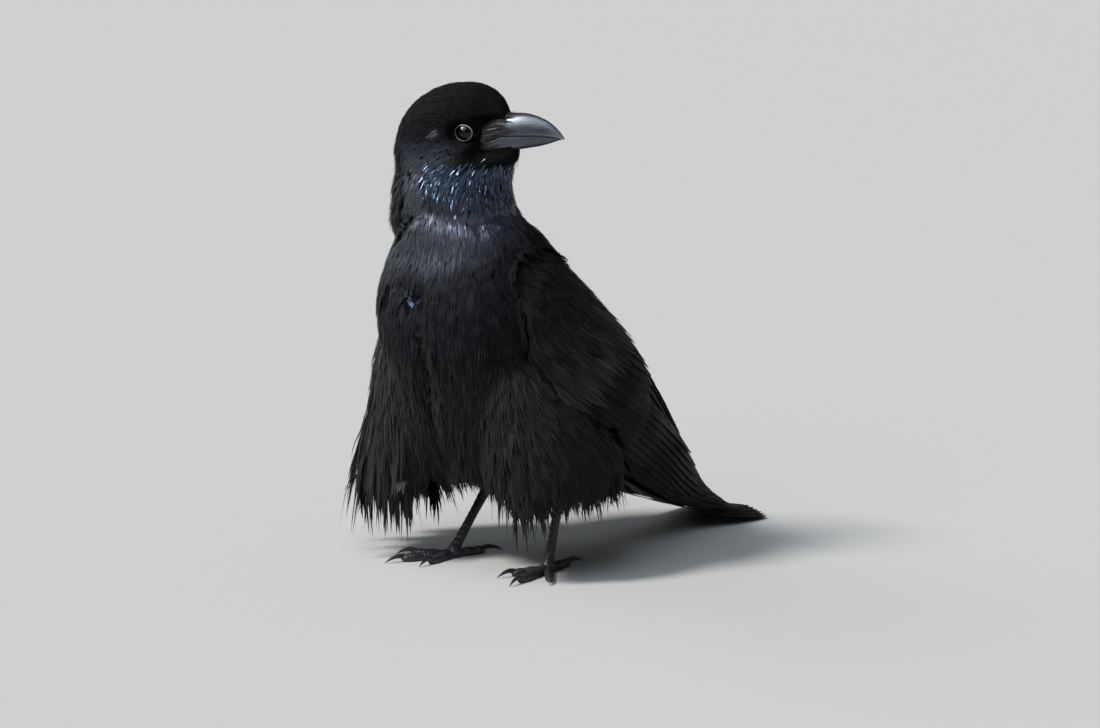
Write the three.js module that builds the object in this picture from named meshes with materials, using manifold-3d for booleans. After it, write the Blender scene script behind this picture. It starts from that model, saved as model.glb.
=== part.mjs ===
// A large black crow at life size, standing with its head turned over its left shoulder.
// Millimetres. +Z is up, the body faces -Y, the bird's left is +X, and the bird stands on Z = 0.
// Every feathered part is given out to the tips of its feathers.
import * as THREE from "three";
import { mergeVertices } from "three/addons/utils/BufferGeometryUtils.js";
import Module from "manifold-3d";

const wasm = await Module();
wasm.setup();

// ---- Driving dimensions ------------------------------------------------------------------
const GAP = 0.35; // clearance between touching pieces
const LEFT = 1;
const RIGHT = -1;

const TRUNK_FOOT = 50; // lowest level of the belly
const NECK_FOOT = 243; // where the neck leaves the trunk
const HEAD_FOOT = 297; // where the head leaves the neck
const HEAD_CENTRE = new THREE.Vector3(5, -49.5, 320); // at the level of the mouth
const HEAD_YAW = THREE.MathUtils.degToRad(27); // the bill points this far behind the bird's left

const BILL_ROOT = 28; // distances ahead of the head's centre
const BILL_TIP = 83.5;
const LOWER_BILL_TIP = 81.5;

const EYE_RADIUS = 7.2; // of the ball
const LID_RADIUS = 6.4; // of the opening between the lids
const EYE_DEPTH = 5; // of the given front of the ball, behind its middle
const EYE_AHEAD = 17.6;
const EYE_OUT = 15.2;
const EYE_UP = 2;

const TAIL_LENGTH = 180; // along the ground
const TAIL_FEATHERS = 12;
const TAIL_THICKNESS = 3;

const TARSUS_RADIUS = 3.6;
const PAD_HEIGHT = 6;
const SOLE = 0.9; // how deep the floor flattens the sole of a toe

// ---- Materials ---------------------------------------------------------------------------
const material = (color, roughness) => new THREE.MeshStandardMaterial({ color, roughness, metalness: 0 });
const MATERIALS = {
  body: material(0x0d0d11, 0.75),
  wing: material(0x0c0c13, 0.5),
  bill: material(0x1b1c20, 0.38),
  eye: material(0x0a0705, 0.05),
  leg: material(0x0d0d0f, 0.55),
  claw: material(0x101012, 0.35),
};

// ---- Solids ------------------------------------------------------------------------------
// A closed BufferGeometry as a solid for cutting and joining.
function solid(geometry) {
  geometry.deleteAttribute("normal");
  geometry.deleteAttribute("uv");
  const merged = mergeVertices(geometry, 1e-4);
  return new wasm.Manifold(
    new wasm.Mesh({
      numProp: 3,
      vertProperties: new Float32Array(merged.attributes.position.array),
      triVerts: new Uint32Array(merged.index.array),
    }),
  );
}

// A solid as a BufferGeometry of its largest body, without the crumbs that a cut can leave.
function geometryOf(made) {
  const mesh = made.getMesh();
  const corners = mesh.triVerts;
  const parent = Array.from({ length: mesh.vertProperties.length / 3 }, (_, i) => i);
  const rootOf = (i) => {
    while (parent[i] !== i) i = parent[i] = parent[parent[i]];
    return i;
  };
  for (let i = 0; i < corners.length; i += 3) {
    parent[rootOf(corners[i])] = rootOf(corners[i + 1]);
    parent[rootOf(corners[i + 1])] = rootOf(corners[i + 2]);
  }
  const faceCount = new Map();
  for (let i = 0; i < corners.length; i += 3) {
    const root = rootOf(corners[i]);
    faceCount.set(root, (faceCount.get(root) ?? 0) + 1);
  }
  const largest = [...faceCount].reduce((a, b) => (b[1] > a[1] ? b : a))[0];
  const kept = [];
  for (let i = 0; i < corners.length; i += 3) {
    if (rootOf(corners[i]) === largest) kept.push(...corners.slice(i, i + 3));
  }
  return new THREE.BufferGeometry()
    .setAttribute("position", new THREE.BufferAttribute(mesh.vertProperties, 3))
    .setIndex(kept);
}

const join = (solids) => solids.reduce((a, b) => a.add(b));

// Rows of [t, value, value, ...] as a smooth function of t that gives the values.
function smooth(rows) {
  const times = rows.map((row) => row[0]);
  const values = rows.flatMap((row) => row.slice(1));
  const width = rows[0].length - 1;
  const curve = new THREE.CubicInterpolant(times, values, width, new Float32Array(width));
  return (t) => Array.from(curve.evaluate(t));
}

// Evenly spaced numbers from a to b.
const steps = (a, b, count) => Array.from({ length: count }, (_, i) => a + ((b - a) * i) / (count - 1));

// A closed skin over rings of points, with a fan over the first ring and the last.
function loft(rings) {
  const sides = rings[0].length;
  const points = rings.flat();
  const index = [];
  for (let r = 0; r < rings.length - 1; r++) {
    for (let s = 0; s < sides; s++) {
      const a = r * sides + s;
      const b = r * sides + ((s + 1) % sides);
      index.push(a, b, a + sides, b, b + sides, a + sides);
    }
  }
  for (const first of [0, (rings.length - 1) * sides]) {
    const middle = new THREE.Vector3();
    for (let s = 0; s < sides; s++) {
      const a = first + s;
      const b = first + ((s + 1) % sides);
      middle.addScaledVector(points[a], 1 / sides);
      if (first === 0) index.push(points.length, b, a);
      else index.push(points.length, a, b);
    }
    points.push(middle);
  }
  const made = solid(new THREE.BufferGeometry().setFromPoints(points).setIndex(index));
  if (made.volume() > 0) return made;
  return solid(new THREE.BufferGeometry().setFromPoints(points).setIndex(index.reverse()));
}

// A rounded closed curve. It reaches half to each side, front against "along" and back with it.
function roundRing(centre, across, along, sides, { half, front, back, square = 2 }) {
  const round = (v) => Math.sign(v) * Math.abs(v) ** (2 / square);
  return steps(0, 2 * Math.PI, sides + 1).slice(0, sides).map((angle) => {
    const reach = Math.sin(angle) < 0 ? front : back;
    return centre
      .clone()
      .addScaledVector(across, half * round(Math.cos(angle)))
      .addScaledVector(along, reach * round(Math.sin(angle)));
  });
}

// A tapering round limb along a curve, given as points and radii.
function limb(points, radii, sides, rings) {
  const curve = new THREE.CatmullRomCurve3(points);
  const radiusAt = smooth(radii.map((r, i) => [i / (radii.length - 1), r]));
  const up = new THREE.Vector3(0, 0, 1);
  return loft(
    steps(0, 1, rings).map((t) => {
      const along = curve.getTangent(t);
      const across = new THREE.Vector3().crossVectors(along, up).normalize();
      const over = new THREE.Vector3().crossVectors(across, along).normalize();
      const [radius] = radiusAt(t);
      return roundRing(curve.getPoint(t), across, over, sides, { half: radius, front: radius, back: radius });
    }),
  );
}

// A block that fills the space above (side 1) or below (side -1) a level.
function halfSpace(z, side) {
  const size = 900;
  const box = new THREE.BoxGeometry(size, size, size);
  box.translate(0, 0, z + (side * size) / 2);
  return solid(box);
}

const X = new THREE.Vector3(1, 0, 0);
const Y = new THREE.Vector3(0, 1, 0);
const UP = new THREE.Vector3(0, 0, 1);

// ---- Trunk ---------------------------------------------------------------------------------
// [z, middle y, half width, reach forward, reach back]
const trunkAt = smooth([
  [TRUNK_FOOT, 30, 16, 36, 30],
  [58, 27, 38, 58, 58],
  [78, 21, 56, 73, 88],
  [100, 14, 65, 80, 103],
  [125, 5, 71, 83, 105],
  [150, -4, 74, 83, 97],
  [175, -13, 76, 82, 85],
  [200, -20, 72, 77, 74],
  [225, -26, 63, 64, 68],
  [243, -30, 54, 54, 57],
  [262, -40, 38, 38, 40],
]);
function trunk(grow = 0) {
  return loft(
    steps(TRUNK_FOOT, 262, 13).map((z) => {
      const [y, half, front, back] = trunkAt(z);
      return roundRing(new THREE.Vector3(0, y, z), X, Y, 26, {
        half: half + grow,
        front: front + grow,
        back: back + grow,
        square: 2.08,
      });
    }),
  );
}

// ---- Flanks --------------------------------------------------------------------------------
// The loose flank feathers hang beside the belly as two full skirts with a ragged hem.
// [z, middle x, middle y, half width, half length]
const flankAt = smooth([
  [48, 52, -2, 22, 34],
  [56, 53, -3, 38, 50],
  [68, 53, -5, 46, 58],
  [85, 52, -7, 48, 60],
  [105, 50, -11, 46, 58],
  [130, 47, -17, 41, 53],
  [155, 43, -23, 35, 47],
  [178, 40, -27, 27, 37],
  [196, 38, -29, 14, 20],
]);
const FLANK_TOP = 196;
const FLARE_TOP = 110; // the hem flares out between these levels
const FLARE_FOOT = 58;
// Each side: how far back and out the skirt lies against the table above, how far its hem flares,
// how many locks hang from it, and how long the locks are at its front and back.
const FLANKS = [
  { side: LEFT, back: 9, out: 0, flare: 0, foot: 50, locks: 14, front: 11, rear: 9 },
  { side: RIGHT, back: -2, out: 4, flare: 11, foot: 55, locks: 14, front: 32, rear: 8 },
];
function flankRing(skirt, z, sides, inset = 0) {
  const [x, y, half, reach] = flankAt(z);
  const flare = skirt.flare * THREE.MathUtils.smoothstep(-z, -FLARE_TOP, -FLARE_FOOT);
  const centre = new THREE.Vector3(skirt.side * (x + skirt.out + flare), y + skirt.back - flare / 2, z);
  const grown = { half: half - inset, front: reach - inset, back: reach - inset, square: 2.1 };
  return roundRing(centre, X, Y, sides, grown);
}
function flank(skirt) {
  const rings = steps(skirt.foot, FLANK_TOP, 9).map((z) => flankRing(skirt, z, 18));
  const roots = flankRing(skirt, skirt.foot + 12, skirt.locks, 5);
  const middle = new THREE.Vector3();
  roots.forEach((p) => middle.addScaledVector(p, 1 / roots.length));
  const locks = roots.map((root, i) => {
    const out = root.clone().sub(middle).setZ(0).normalize();
    const ahead = THREE.MathUtils.smoothstep(-out.y, -0.6, 0.9);
    const uneven = 0.78 + 0.22 * Math.sin(i * 2.4);
    const drop = THREE.MathUtils.lerp(skirt.rear, skirt.front, ahead) * uneven + 12;
    const lock = new THREE.ConeGeometry(6.5, drop, 4).rotateX(-Math.PI / 2);
    lock.scale(0.6, 1, 1).rotateZ(Math.atan2(out.y, out.x));
    lock.translate(0, 0, -drop / 2);
    lock.applyMatrix4(new THREE.Matrix4().makeShear(0, 0, 0, 0, -out.x * 0.12, -out.y * 0.12));
    lock.translate(root.x, root.y, root.z);
    return solid(lock);
  });
  return join([loft(rings), ...locks]);
}

// ---- Neck and head -------------------------------------------------------------------------
const FORWARD = new THREE.Vector3(Math.cos(HEAD_YAW), Math.sin(HEAD_YAW), 0);
const ASIDE = new THREE.Vector3(-Math.sin(HEAD_YAW), Math.cos(HEAD_YAW), 0); // the head's left

// [z, middle x, middle y, half width, reach to the nape, reach to the throat]
const neckAt = smooth([
  [230, 0, -29, 58, 58, 60],
  [245, 1, -35, 52, 52, 54],
  [262, 2, -42, 44, 44, 46.5],
  [280, 3, -46, 37, 41, 43],
  [297, 4, -45, 34, 42, 45],
  [312, 4, -48, 31, 39, 44],
  [328, 4, -50, 26, 33, 36],
]);
function neck() {
  return loft(
    steps(230, 328, 7).map((z) => {
      const [x, y, half, front, back] = neckAt(z);
      return roundRing(new THREE.Vector3(x, y, z), ASIDE, FORWARD, 24, { half, front, back, square: 2.05 });
    }),
  );
}

// A point in the head's own frame: ahead, to the head's left, and up from the mouth line.
const inHead = (ahead, left, up) =>
  HEAD_CENTRE.clone().addScaledVector(FORWARD, ahead).addScaledVector(ASIDE, left).addScaledVector(UP, up);

// [ahead, half width, top, bottom, level of the widest line]
const headAt = smooth([
  [-40.5, 5, -8, -22, -15],
  [-38, 13, 1, -32, -14],
  [-31.5, 21.5, 13, -40, -12],
  [-19.5, 27.5, 25.5, -43, -8],
  [-5, 29.5, 33, -43, -6],
  [8, 26.8, 35.5, -42, -4],
  [18, 22.2, 36, -40, -2],
  [27, 16.6, 33.8, -38, -3],
  [35, 13.4, 29.6, -35, -6],
  [40, 12.2, 24, -32, -9],
  [44, 11, 14.6, -29, -11],
  [48, 8.5, 4, -25, -13],
  [51, 4, -9, -20, -15],
]);
function head() {
  return loft(
    steps(-40.5, 51, 16).map((ahead) => {
      const [half, top, bottom, wide] = headAt(ahead);
      const middle = inHead(ahead, 0, wide);
      return roundRing(middle, ASIDE, UP, 20, { half, front: wide - bottom, back: top - wide, square: 2.1 });
    }),
  );
}

// The bill's sections. [ahead, half width, top, mouth line, bottom]
const billAt = smooth([
  [BILL_ROOT, 10.2, 13, -6, -16],
  [36, 9.8, 14.2, -1.2, -14.6],
  [46, 8.8, 15, 0, -11.8],
  [57, 7.2, 15, 0.3, -9.4],
  [66, 5.4, 12.8, 0.5, -7.4],
  [73, 3.9, 9.6, 0.4, -5.2],
  [79, 2.4, 4.8, -0.2, -2.9],
  [82, 1.3, 1.5, -0.9, -1.9],
  [BILL_TIP, 0.5, -0.6, -1.6, -1.7],
]);
const TUCK = 8; // how far the bill is set back into the face
const EDGE = 0.1; // thickness of the cutting edge above or below the mouth line
function billHalf(tip, upper, grow = 0) {
  return loft(
    steps(BILL_ROOT - TUCK, tip, 10).map((ahead) => {
      const [half, top, mouth, bottom] = billAt(Math.max(ahead, BILL_ROOT));
      const seat = mouth + (upper ? GAP : -GAP);
      const thin = EDGE + grow;
      const thick = Math.max(upper ? top - seat : seat - bottom, 0.6) + grow;
      return roundRing(inHead(ahead, 0, seat), ASIDE, UP, 12, {
        half: half + grow - (upper ? 0 : 0.8),
        front: upper ? thin : thick,
        back: upper ? thick : thin,
      });
    }),
  );
}

// A round body about a line that runs out of the head's side through the middle of its eye.
function aboutEye(side, profile) {
  const points = profile.map(([radius, out]) => new THREE.Vector2(radius, out));
  const body = new THREE.LatheGeometry(points, 14);
  body.rotateZ(side > 0 ? 0 : Math.PI).rotateZ(HEAD_YAW);
  return solid(body.translate(...inHead(EYE_AHEAD, side * EYE_OUT, EYE_UP)));
}
// The front of the eyeball, with a plug behind it.
function eye(side) {
  const widest = Math.asin(LID_RADIUS / EYE_RADIUS);
  const domePoint = (angle) => [EYE_RADIUS * Math.sin(angle), EYE_RADIUS * Math.cos(angle)];
  const dome = steps(widest, 0, 5).map(domePoint);
  dome[4][0] = 0;
  return aboutEye(side, [[0, -EYE_DEPTH], [LID_RADIUS, -EYE_DEPTH], ...dome]);
}
// The socket, which widens from the lids outwards.
function socket(side) {
  const radius = LID_RADIUS + GAP;
  const lidLevel = EYE_RADIUS - 2;
  return aboutEye(side, [
    [0, -EYE_DEPTH - GAP],
    [radius, -EYE_DEPTH - GAP],
    [radius, lidLevel],
    [radius + 4, lidLevel + 9],
    [0, lidLevel + 9],
  ]);
}

// ---- Wings ---------------------------------------------------------------------------------
// From the wrist to the tip of the folded wing, on the left side.
// [t, lower edge x, y, z, upper edge x, y, z, bulge, thickness]
const wingAt = smooth([
  [0, 61, -40, 222, 44, -18, 242, 3, 5],
  [0.08, 69, -38, 200, 42, 8, 233, 14, 8],
  [0.18, 75, -34, 170, 36, 38, 209, 24, 10],
  [0.3, 82, -14, 138, 24, 71, 181, 29, 10],
  [0.42, 83, 20, 108, 14, 99, 154, 29, 9],
  [0.54, 76, 54, 83, 9, 122, 124, 26, 8],
  [0.66, 63, 88, 64, 6, 145, 96, 20, 6.5],
  [0.76, 53, 118, 47, 5, 166, 72, 14, 5],
  [0.86, 43, 153, 28, 3, 191, 48, 8, 4],
  [0.94, 36, 190, 16, 3, 209, 31, 4, 3],
  [1, 26, 226, 8, 6, 231, 14, 0.5, 1.6],
]);
const WING_POINTS = 7; // across the wing
function wing(side, grow = 0) {
  return loft(
    steps(0, 1, 14).map((t) => {
      const [lx, ly, lz, ux, uy, uz, bulge, thick] = wingAt(t);
      const low = new THREE.Vector3(side * lx, ly, lz);
      const chord = new THREE.Vector3(side * ux, uy, uz).sub(low);
      const rise = new THREE.Vector3(0, chord.y, chord.z);
      const out = new THREE.Vector3(side * rise.length(), 0, 0);
      out.addScaledVector(rise.normalize(), -side * chord.x).normalize();
      const rim = chord.clone().normalize().multiplyScalar(grow);
      const at = (s, depth) =>
        low
          .clone()
          .addScaledVector(chord, s)
          .addScaledVector(rim, 2 * s - 1)
          .addScaledVector(out, 4 * bulge * s * (1 - s) + depth);
      const outer = steps(0, 1, WING_POINTS).map((s) => at(s, grow));
      const inner = steps(1, 0, WING_POINTS).map((s) => {
        const fullness = Math.min(1, 0.4 + 4 * s * (1 - s));
        return at(s, -thick * fullness - grow);
      });
      return [...outer, ...inner];
    }),
  );
}

// ---- Tail ----------------------------------------------------------------------------------
// The middle line of the tail, which comes down to rest its tip on the ground.
// [distance along the ground, y, z]
const tailLineAt = smooth([
  [0, 66, 78],
  [30, 96, 55],
  [60, 126, 37],
  [90, 156, 24],
  [120, 186, 14.2],
  [150, 216, 6.5],
  [TAIL_LENGTH, 246, 1.2],
]);
function tail(grow = 0) {
  const across = TAIL_FEATHERS * (grow > 0 ? 0.5 : 2);
  const rows = steps(0, 1, 6);
  const deep = TAIL_THICKNESS / 2 + grow;
  const surface = (column, t, depth) => {
    const place = (2 * column) / across - 1; // -1 to 1 across the tail
    const feather = Math.min(Math.floor(column / 2), TAIL_FEATHERS - 1);
    const inFeather = column / 2 - feather; // 0 to 1 across one feather
    const roundEnd = 4 * Math.abs(Math.sin(inFeather * Math.PI)) - 4;
    const distance = t * (TAIL_LENGTH - 13 * place ** 2 + roundEnd * (column % 2 ? 0 : 1));
    const [y, z] = tailLineAt(distance);
    const half = 15 + 19 * Math.sin((t * Math.PI) / 2.3) + grow;
    const droop = 8 * place ** 2 * THREE.MathUtils.smoothstep(TAIL_LENGTH - distance, 0, 70);
    return new THREE.Vector3(place * half, y, z - droop + depth);
  };
  const ring = (t) => [
    ...steps(0, across, across + 1).map((column) => surface(column, t, deep)),
    ...steps(across, 0, across + 1).map((column) => surface(column, t, -deep)),
  ];
  return loft(rows.map(ring));
}

// The soft feathers under the root of the tail. [t, y, z, half width, half depth]
const undertailAt = smooth([
  [0, 56, 84, 42, 30],
  [0.3, 84, 68, 37, 24],
  [0.65, 116, 45, 26, 14],
  [0.88, 142, 30, 14, 7],
  [1, 158, 23, 5, 3],
]);
function undertail() {
  const tilt = new THREE.Vector3(0, 0.5, 0.866);
  return loft(
    steps(0, 1, 8).map((t) => {
      const [y, z, half, deep] = undertailAt(t);
      return roundRing(new THREE.Vector3(0, y, z), X, tilt, 18, { half, front: deep, back: deep });
    }),
  );
}

// ---- Legs ----------------------------------------------------------------------------------
// Each foot: the middle of its pad, its ankle, and how far outward its middle toe points.
const LEGS = [
  { name: "left", side: LEFT, pad: [46, 4], ankle: [46, 18, 64], toward: 16 },
  { name: "right", side: RIGHT, pad: [-34, -14], ankle: [-36, 26, 52], toward: 20 },
];
// Each toe: degrees outward from the middle toe, its length, its radius and its claw's length.
const TOES = [
  { name: "middle", turn: 0, length: 40, radius: 3.4, claw: 13 },
  { name: "inner", turn: -31, length: 29, radius: 3.2, claw: 12 },
  { name: "outer", turn: 33, length: 31, radius: 3.0, claw: 10.5 },
  { name: "hind", turn: 174, length: 25, radius: 3.4, claw: 16 },
];
const BALL_RADIUS = 5.6; // of the joint that the toes spring from
const TOE_START = BALL_RADIUS + 2 * GAP;
const CLAW_ROOT = 3; // how far a claw is set back into its toe

function tarsus(leg, grow = 0) {
  const ankle = new THREE.Vector3(...leg.ankle);
  const pad = new THREE.Vector3(leg.pad[0], leg.pad[1], PAD_HEIGHT - 1);
  const radii = [4.9, TARSUS_RADIUS, TARSUS_RADIUS, 4.6].map((r) => r + grow);
  const shank = limb([0, 0.3, 0.7, 1].map((t) => ankle.clone().lerp(pad, t)), radii, 8, 7);
  const ball = new THREE.SphereGeometry(BALL_RADIUS + grow, 10, 7);
  ball.scale(1, 1, 0.85).translate(leg.pad[0], leg.pad[1], PAD_HEIGHT - 1.6);
  return shank.add(solid(ball));
}

// A point above a foot: this far from its pad along a toe, and this high.
function onToe(leg, toe, reach, height) {
  const angle = THREE.MathUtils.degToRad(leg.toward + toe.turn);
  return new THREE.Vector3(
    leg.pad[0] + leg.side * Math.sin(angle) * reach,
    leg.pad[1] - Math.cos(angle) * reach,
    height,
  );
}
// Toes are swollen into pads at their joints and rest on flat soles.
function toeLimb(leg, toe, grow = 0) {
  const r = toe.radius;
  const places = [TOE_START, 0.3 * toe.length, 0.55 * toe.length, 0.8 * toe.length, toe.length];
  const radii = [r * 1.15, r, r * 1.06, r * 0.96, r * 0.7].map((value) => value + grow);
  const centres = places.map((reach) => onToe(leg, toe, reach, r - SOLE));
  return limb(centres, radii, 7, 7);
}
function claw(leg, toe, grow = 0) {
  const start = toe.length - CLAW_ROOT;
  const heights = [2.6, 4.4, 3.4, 0.7];
  const step = (toe.claw + CLAW_ROOT) / 3;
  const centres = heights.map((height, i) => onToe(leg, toe, start + i * step, height));
  return limb(centres, [1.9, 1.75, 1.2, 0.4].map((r) => r + grow), 6, 5);
}

// ---- The bird ------------------------------------------------------------------------------
const bird = new THREE.Group();
function addPart(name, made, finish) {
  const mesh = new THREE.Mesh(geometryOf(made), finish);
  mesh.name = name;
  bird.add(mesh);
}

const upright = join([trunk(), neck(), head()]);
const above = halfSpace(0, 1);
const wingSpace = wing(LEFT, GAP).add(wing(RIGHT, GAP));
const billSpace = billHalf(BILL_TIP, true, GAP).add(billHalf(LOWER_BILL_TIP, false, GAP));
const eyeSpace = socket(LEFT).add(socket(RIGHT));
const legSpace = join(LEGS.map((leg) => tarsus(leg, GAP)));

const skull = upright.intersect(halfSpace(HEAD_FOOT + GAP / 2, 1));
addPart("head", skull.subtract(billSpace).subtract(eyeSpace), MATERIALS.body);
addPart("bill_upper", billHalf(BILL_TIP, true), MATERIALS.bill);
addPart("bill_lower", billHalf(LOWER_BILL_TIP, false), MATERIALS.bill);
addPart("eye_left", eye(LEFT), MATERIALS.eye);
addPart("eye_right", eye(RIGHT), MATERIALS.eye);

const belowHead = upright.intersect(halfSpace(HEAD_FOOT - GAP / 2, -1));
const throat = belowHead.intersect(halfSpace(NECK_FOOT + GAP / 2, 1));
addPart("neck", throat.subtract(wingSpace), MATERIALS.body);
const barrel = upright.intersect(halfSpace(NECK_FOOT - GAP / 2, -1));
addPart("trunk", barrel.subtract(wingSpace).subtract(legSpace), MATERIALS.body);

const trunkSpace = trunk(GAP);
for (const skirt of FLANKS) {
  const side = skirt.side === LEFT ? "left" : "right";
  const made = flank(skirt).subtract(trunkSpace).subtract(wingSpace).subtract(legSpace);
  addPart("flank_" + side, made, MATERIALS.body);
  addPart("wing_" + side, wing(skirt.side), MATERIALS.wing);
}
const vent = undertail().subtract(trunkSpace).subtract(wingSpace).subtract(tail(2 * GAP));
addPart("undertail", vent, MATERIALS.body);
addPart("tail", tail().subtract(trunkSpace).subtract(wingSpace).intersect(above), MATERIALS.wing);

for (const leg of LEGS) {
  addPart("tarsus_" + leg.name, tarsus(leg).intersect(above), MATERIALS.leg);
  const middleToe = toeLimb(leg, TOES[0], GAP);
  for (const toe of TOES) {
    const whole = toe === TOES[0] ? toeLimb(leg, toe) : toeLimb(leg, toe).subtract(middleToe);
    const made = whole.subtract(claw(leg, toe, GAP));
    addPart("toe_" + toe.name + "_" + leg.name, made.intersect(above), MATERIALS.leg);
    addPart("claw_" + toe.name + "_" + leg.name, claw(leg, toe).intersect(above), MATERIALS.claw);
  }
}

// The origin is on the ground, under the middle of the bird's own box.
bird.updateMatrixWorld(true);
const box = new THREE.Box3().setFromObject(bird);
bird.position.set(-(box.min.x + box.max.x) / 2, -(box.min.y + box.max.y) / 2, -box.min.z);

export default bird;
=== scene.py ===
"""A large-billed crow at life size, with its feathers, bill, eyes and feet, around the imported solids.

Shapes are worked out in millimetres about the ground point between the feet (the design's origin)
and become metres in the row's frame when a mesh is made. The body faces -Y, its left is +X.
"""

import math

import bmesh
import bpy
import numpy as np
from mathutils import Matrix, Vector
from mathutils.bvhtree import BVHTree
from mathutils.kdtree import KDTree


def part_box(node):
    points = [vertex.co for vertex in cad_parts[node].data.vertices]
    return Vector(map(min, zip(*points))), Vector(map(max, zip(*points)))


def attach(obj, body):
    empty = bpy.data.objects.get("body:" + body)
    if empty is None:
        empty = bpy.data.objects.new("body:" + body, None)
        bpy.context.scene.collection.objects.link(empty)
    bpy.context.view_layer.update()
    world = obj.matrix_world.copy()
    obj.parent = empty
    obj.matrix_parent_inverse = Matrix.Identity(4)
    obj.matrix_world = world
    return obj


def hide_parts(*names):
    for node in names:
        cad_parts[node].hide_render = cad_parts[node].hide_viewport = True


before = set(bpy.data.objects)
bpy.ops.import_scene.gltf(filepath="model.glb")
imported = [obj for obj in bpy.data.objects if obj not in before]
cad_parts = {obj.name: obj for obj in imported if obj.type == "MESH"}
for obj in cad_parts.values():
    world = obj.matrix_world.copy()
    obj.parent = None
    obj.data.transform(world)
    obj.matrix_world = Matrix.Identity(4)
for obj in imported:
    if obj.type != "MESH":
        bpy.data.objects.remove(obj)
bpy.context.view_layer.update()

# ---- Driving dimensions, in millimetres ----
MM = 0.001
LEFT, RIGHT = 1, -1
SIDE_NAMES = {LEFT: "left", RIGHT: "right"}
UP = np.array([0.0, 0.0, 1.0])
DOWN = -UP

HEAD_YAW = math.radians(27)
HEAD_CENTRE = np.array([5.0, -49.5, 320.0])
FORWARD = np.array([math.cos(HEAD_YAW), math.sin(HEAD_YAW), 0.0])
ASIDE = np.array([-math.sin(HEAD_YAW), math.cos(HEAD_YAW), 0.0])

EYE_RADIUS = 7.2
EYE_AHEAD, EYE_OUT, EYE_UP = 15.6, 14.5, 2.0  # an eye's middle, in the head's frame
EYE_NODE_AHEAD = 17.6  # where the CAD's eyes lie
LID_LONG, LID_TALL = 6.2, 5.5  # half the opening between the lids
LID_RADIUS = 6.4  # as much of the eye as the lids leave open, about its axis
LID_REACH = 8.4  # how far the lids' skin runs out from the eye's middle
EYE_BARE = 6.7  # no feather is rooted so close to the eye's middle

BILL_ROOT, BILL_TIP, LOWER_BILL_TIP = 28.0, 83.5, 81.5  # ahead of the head's centre
BILL_TUCK = 8.0  # how far the bill runs on into the face

TAIL_LENGTH = 180.0
TAIL_ROOT = 66.0  # how far behind the origin the tail starts
PAD_HEIGHT = 6.0
SOLE = 0.9  # how far a toe's flat sole cuts into its round section
WING_TOP = 245.0  # the folded wings lie below this level
SHORTEST = 12.0  # no hem feather is cut shorter than this

# The photo's view, in degrees. It aims at a point that far right of and above the origin.
CAMERA_AZIMUTH, CAMERA_ELEVATION = 47, 12
CAMERA_DISTANCE = 5000.0
CAMERA_LENS, SENSOR = 229.1, 36.0
PHOTO_PIXELS_PER_MM = 1.4
AIM_RIGHT = 50 / PHOTO_PIXELS_PER_MM
AIM_UP = 198 / PHOTO_PIXELS_PER_MM


# ---- Plain maths ----
def unit(v):
    return v / np.maximum(np.linalg.norm(v, axis=-1, keepdims=True), 1e-9)


def dot(a, b):
    return np.sum(a * b, axis=-1, keepdims=True)


def along_surface(v, normal):
    return unit(v - normal * dot(v, normal))


def ramp(x, low, high):
    t = np.clip((x - low) / (high - low), 0, 1)
    return t * t * (3 - 2 * t)


def mix(a, b, t):
    return a + (b - a) * t


def bell(*offsets):
    """1 where every offset is 0, falling smoothly to 0 beyond 1."""
    return np.exp(-sum(offset**2 for offset in offsets))


def smooth(rows):
    """Rows of [t, value, value, ...] as a smooth function of t that gives the values."""
    table = np.array(rows, float)
    x, y = table[:, 0], table[:, 1:]
    slope = np.gradient(y, x, axis=0)

    def at(t):
        t = np.clip(np.asarray(t, float), x[0], x[-1])
        i = np.clip(np.searchsorted(x, t) - 1, 0, len(x) - 2)
        h = (x[i + 1] - x[i])[..., None]
        u = (t - x[i])[..., None] / h
        rise = y[i] * (2 * u**3 - 3 * u**2 + 1) + y[i + 1] * (3 * u**2 - 2 * u**3)
        return rise + h * (slope[i] * (u**3 - 2 * u**2 + u) + slope[i + 1] * (u**3 - u**2))

    return at


def in_head(ahead, left, up):
    """Points in the head's own frame: ahead, to its left, and up from the mouth line."""
    ahead, left, up = np.broadcast_arrays(*(np.asarray(v, float)[..., None] for v in (ahead, left, up)))
    return HEAD_CENTRE + ahead * FORWARD + left * ASIDE + up * UP


def head_frame(points):
    """The head's own ahead, left and up of some points."""
    away = points - HEAD_CENTRE
    return away @ FORWARD, away @ ASIDE, away[..., 2]


def node_middle(name):
    low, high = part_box(name)
    return (np.array(low) + np.array(high)) / 2


# The design's origin in the row's frame, found from the middle between the two eyes.
EYES_MIDDLE = (node_middle("eye_left") + node_middle("eye_right")) / 2
ORIGIN = EYES_MIDDLE - in_head(EYE_NODE_AHEAD, 0, EYE_UP) * MM
ORIGIN[2] = 0


def to_row(points):
    return ORIGIN + np.asarray(points) * MM


# ---- Meshes ----
def shown(name, data):
    """An object in the scene for some data."""
    made = bpy.data.objects.new(name, data)
    bpy.context.scene.collection.objects.link(made)
    return made


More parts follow.
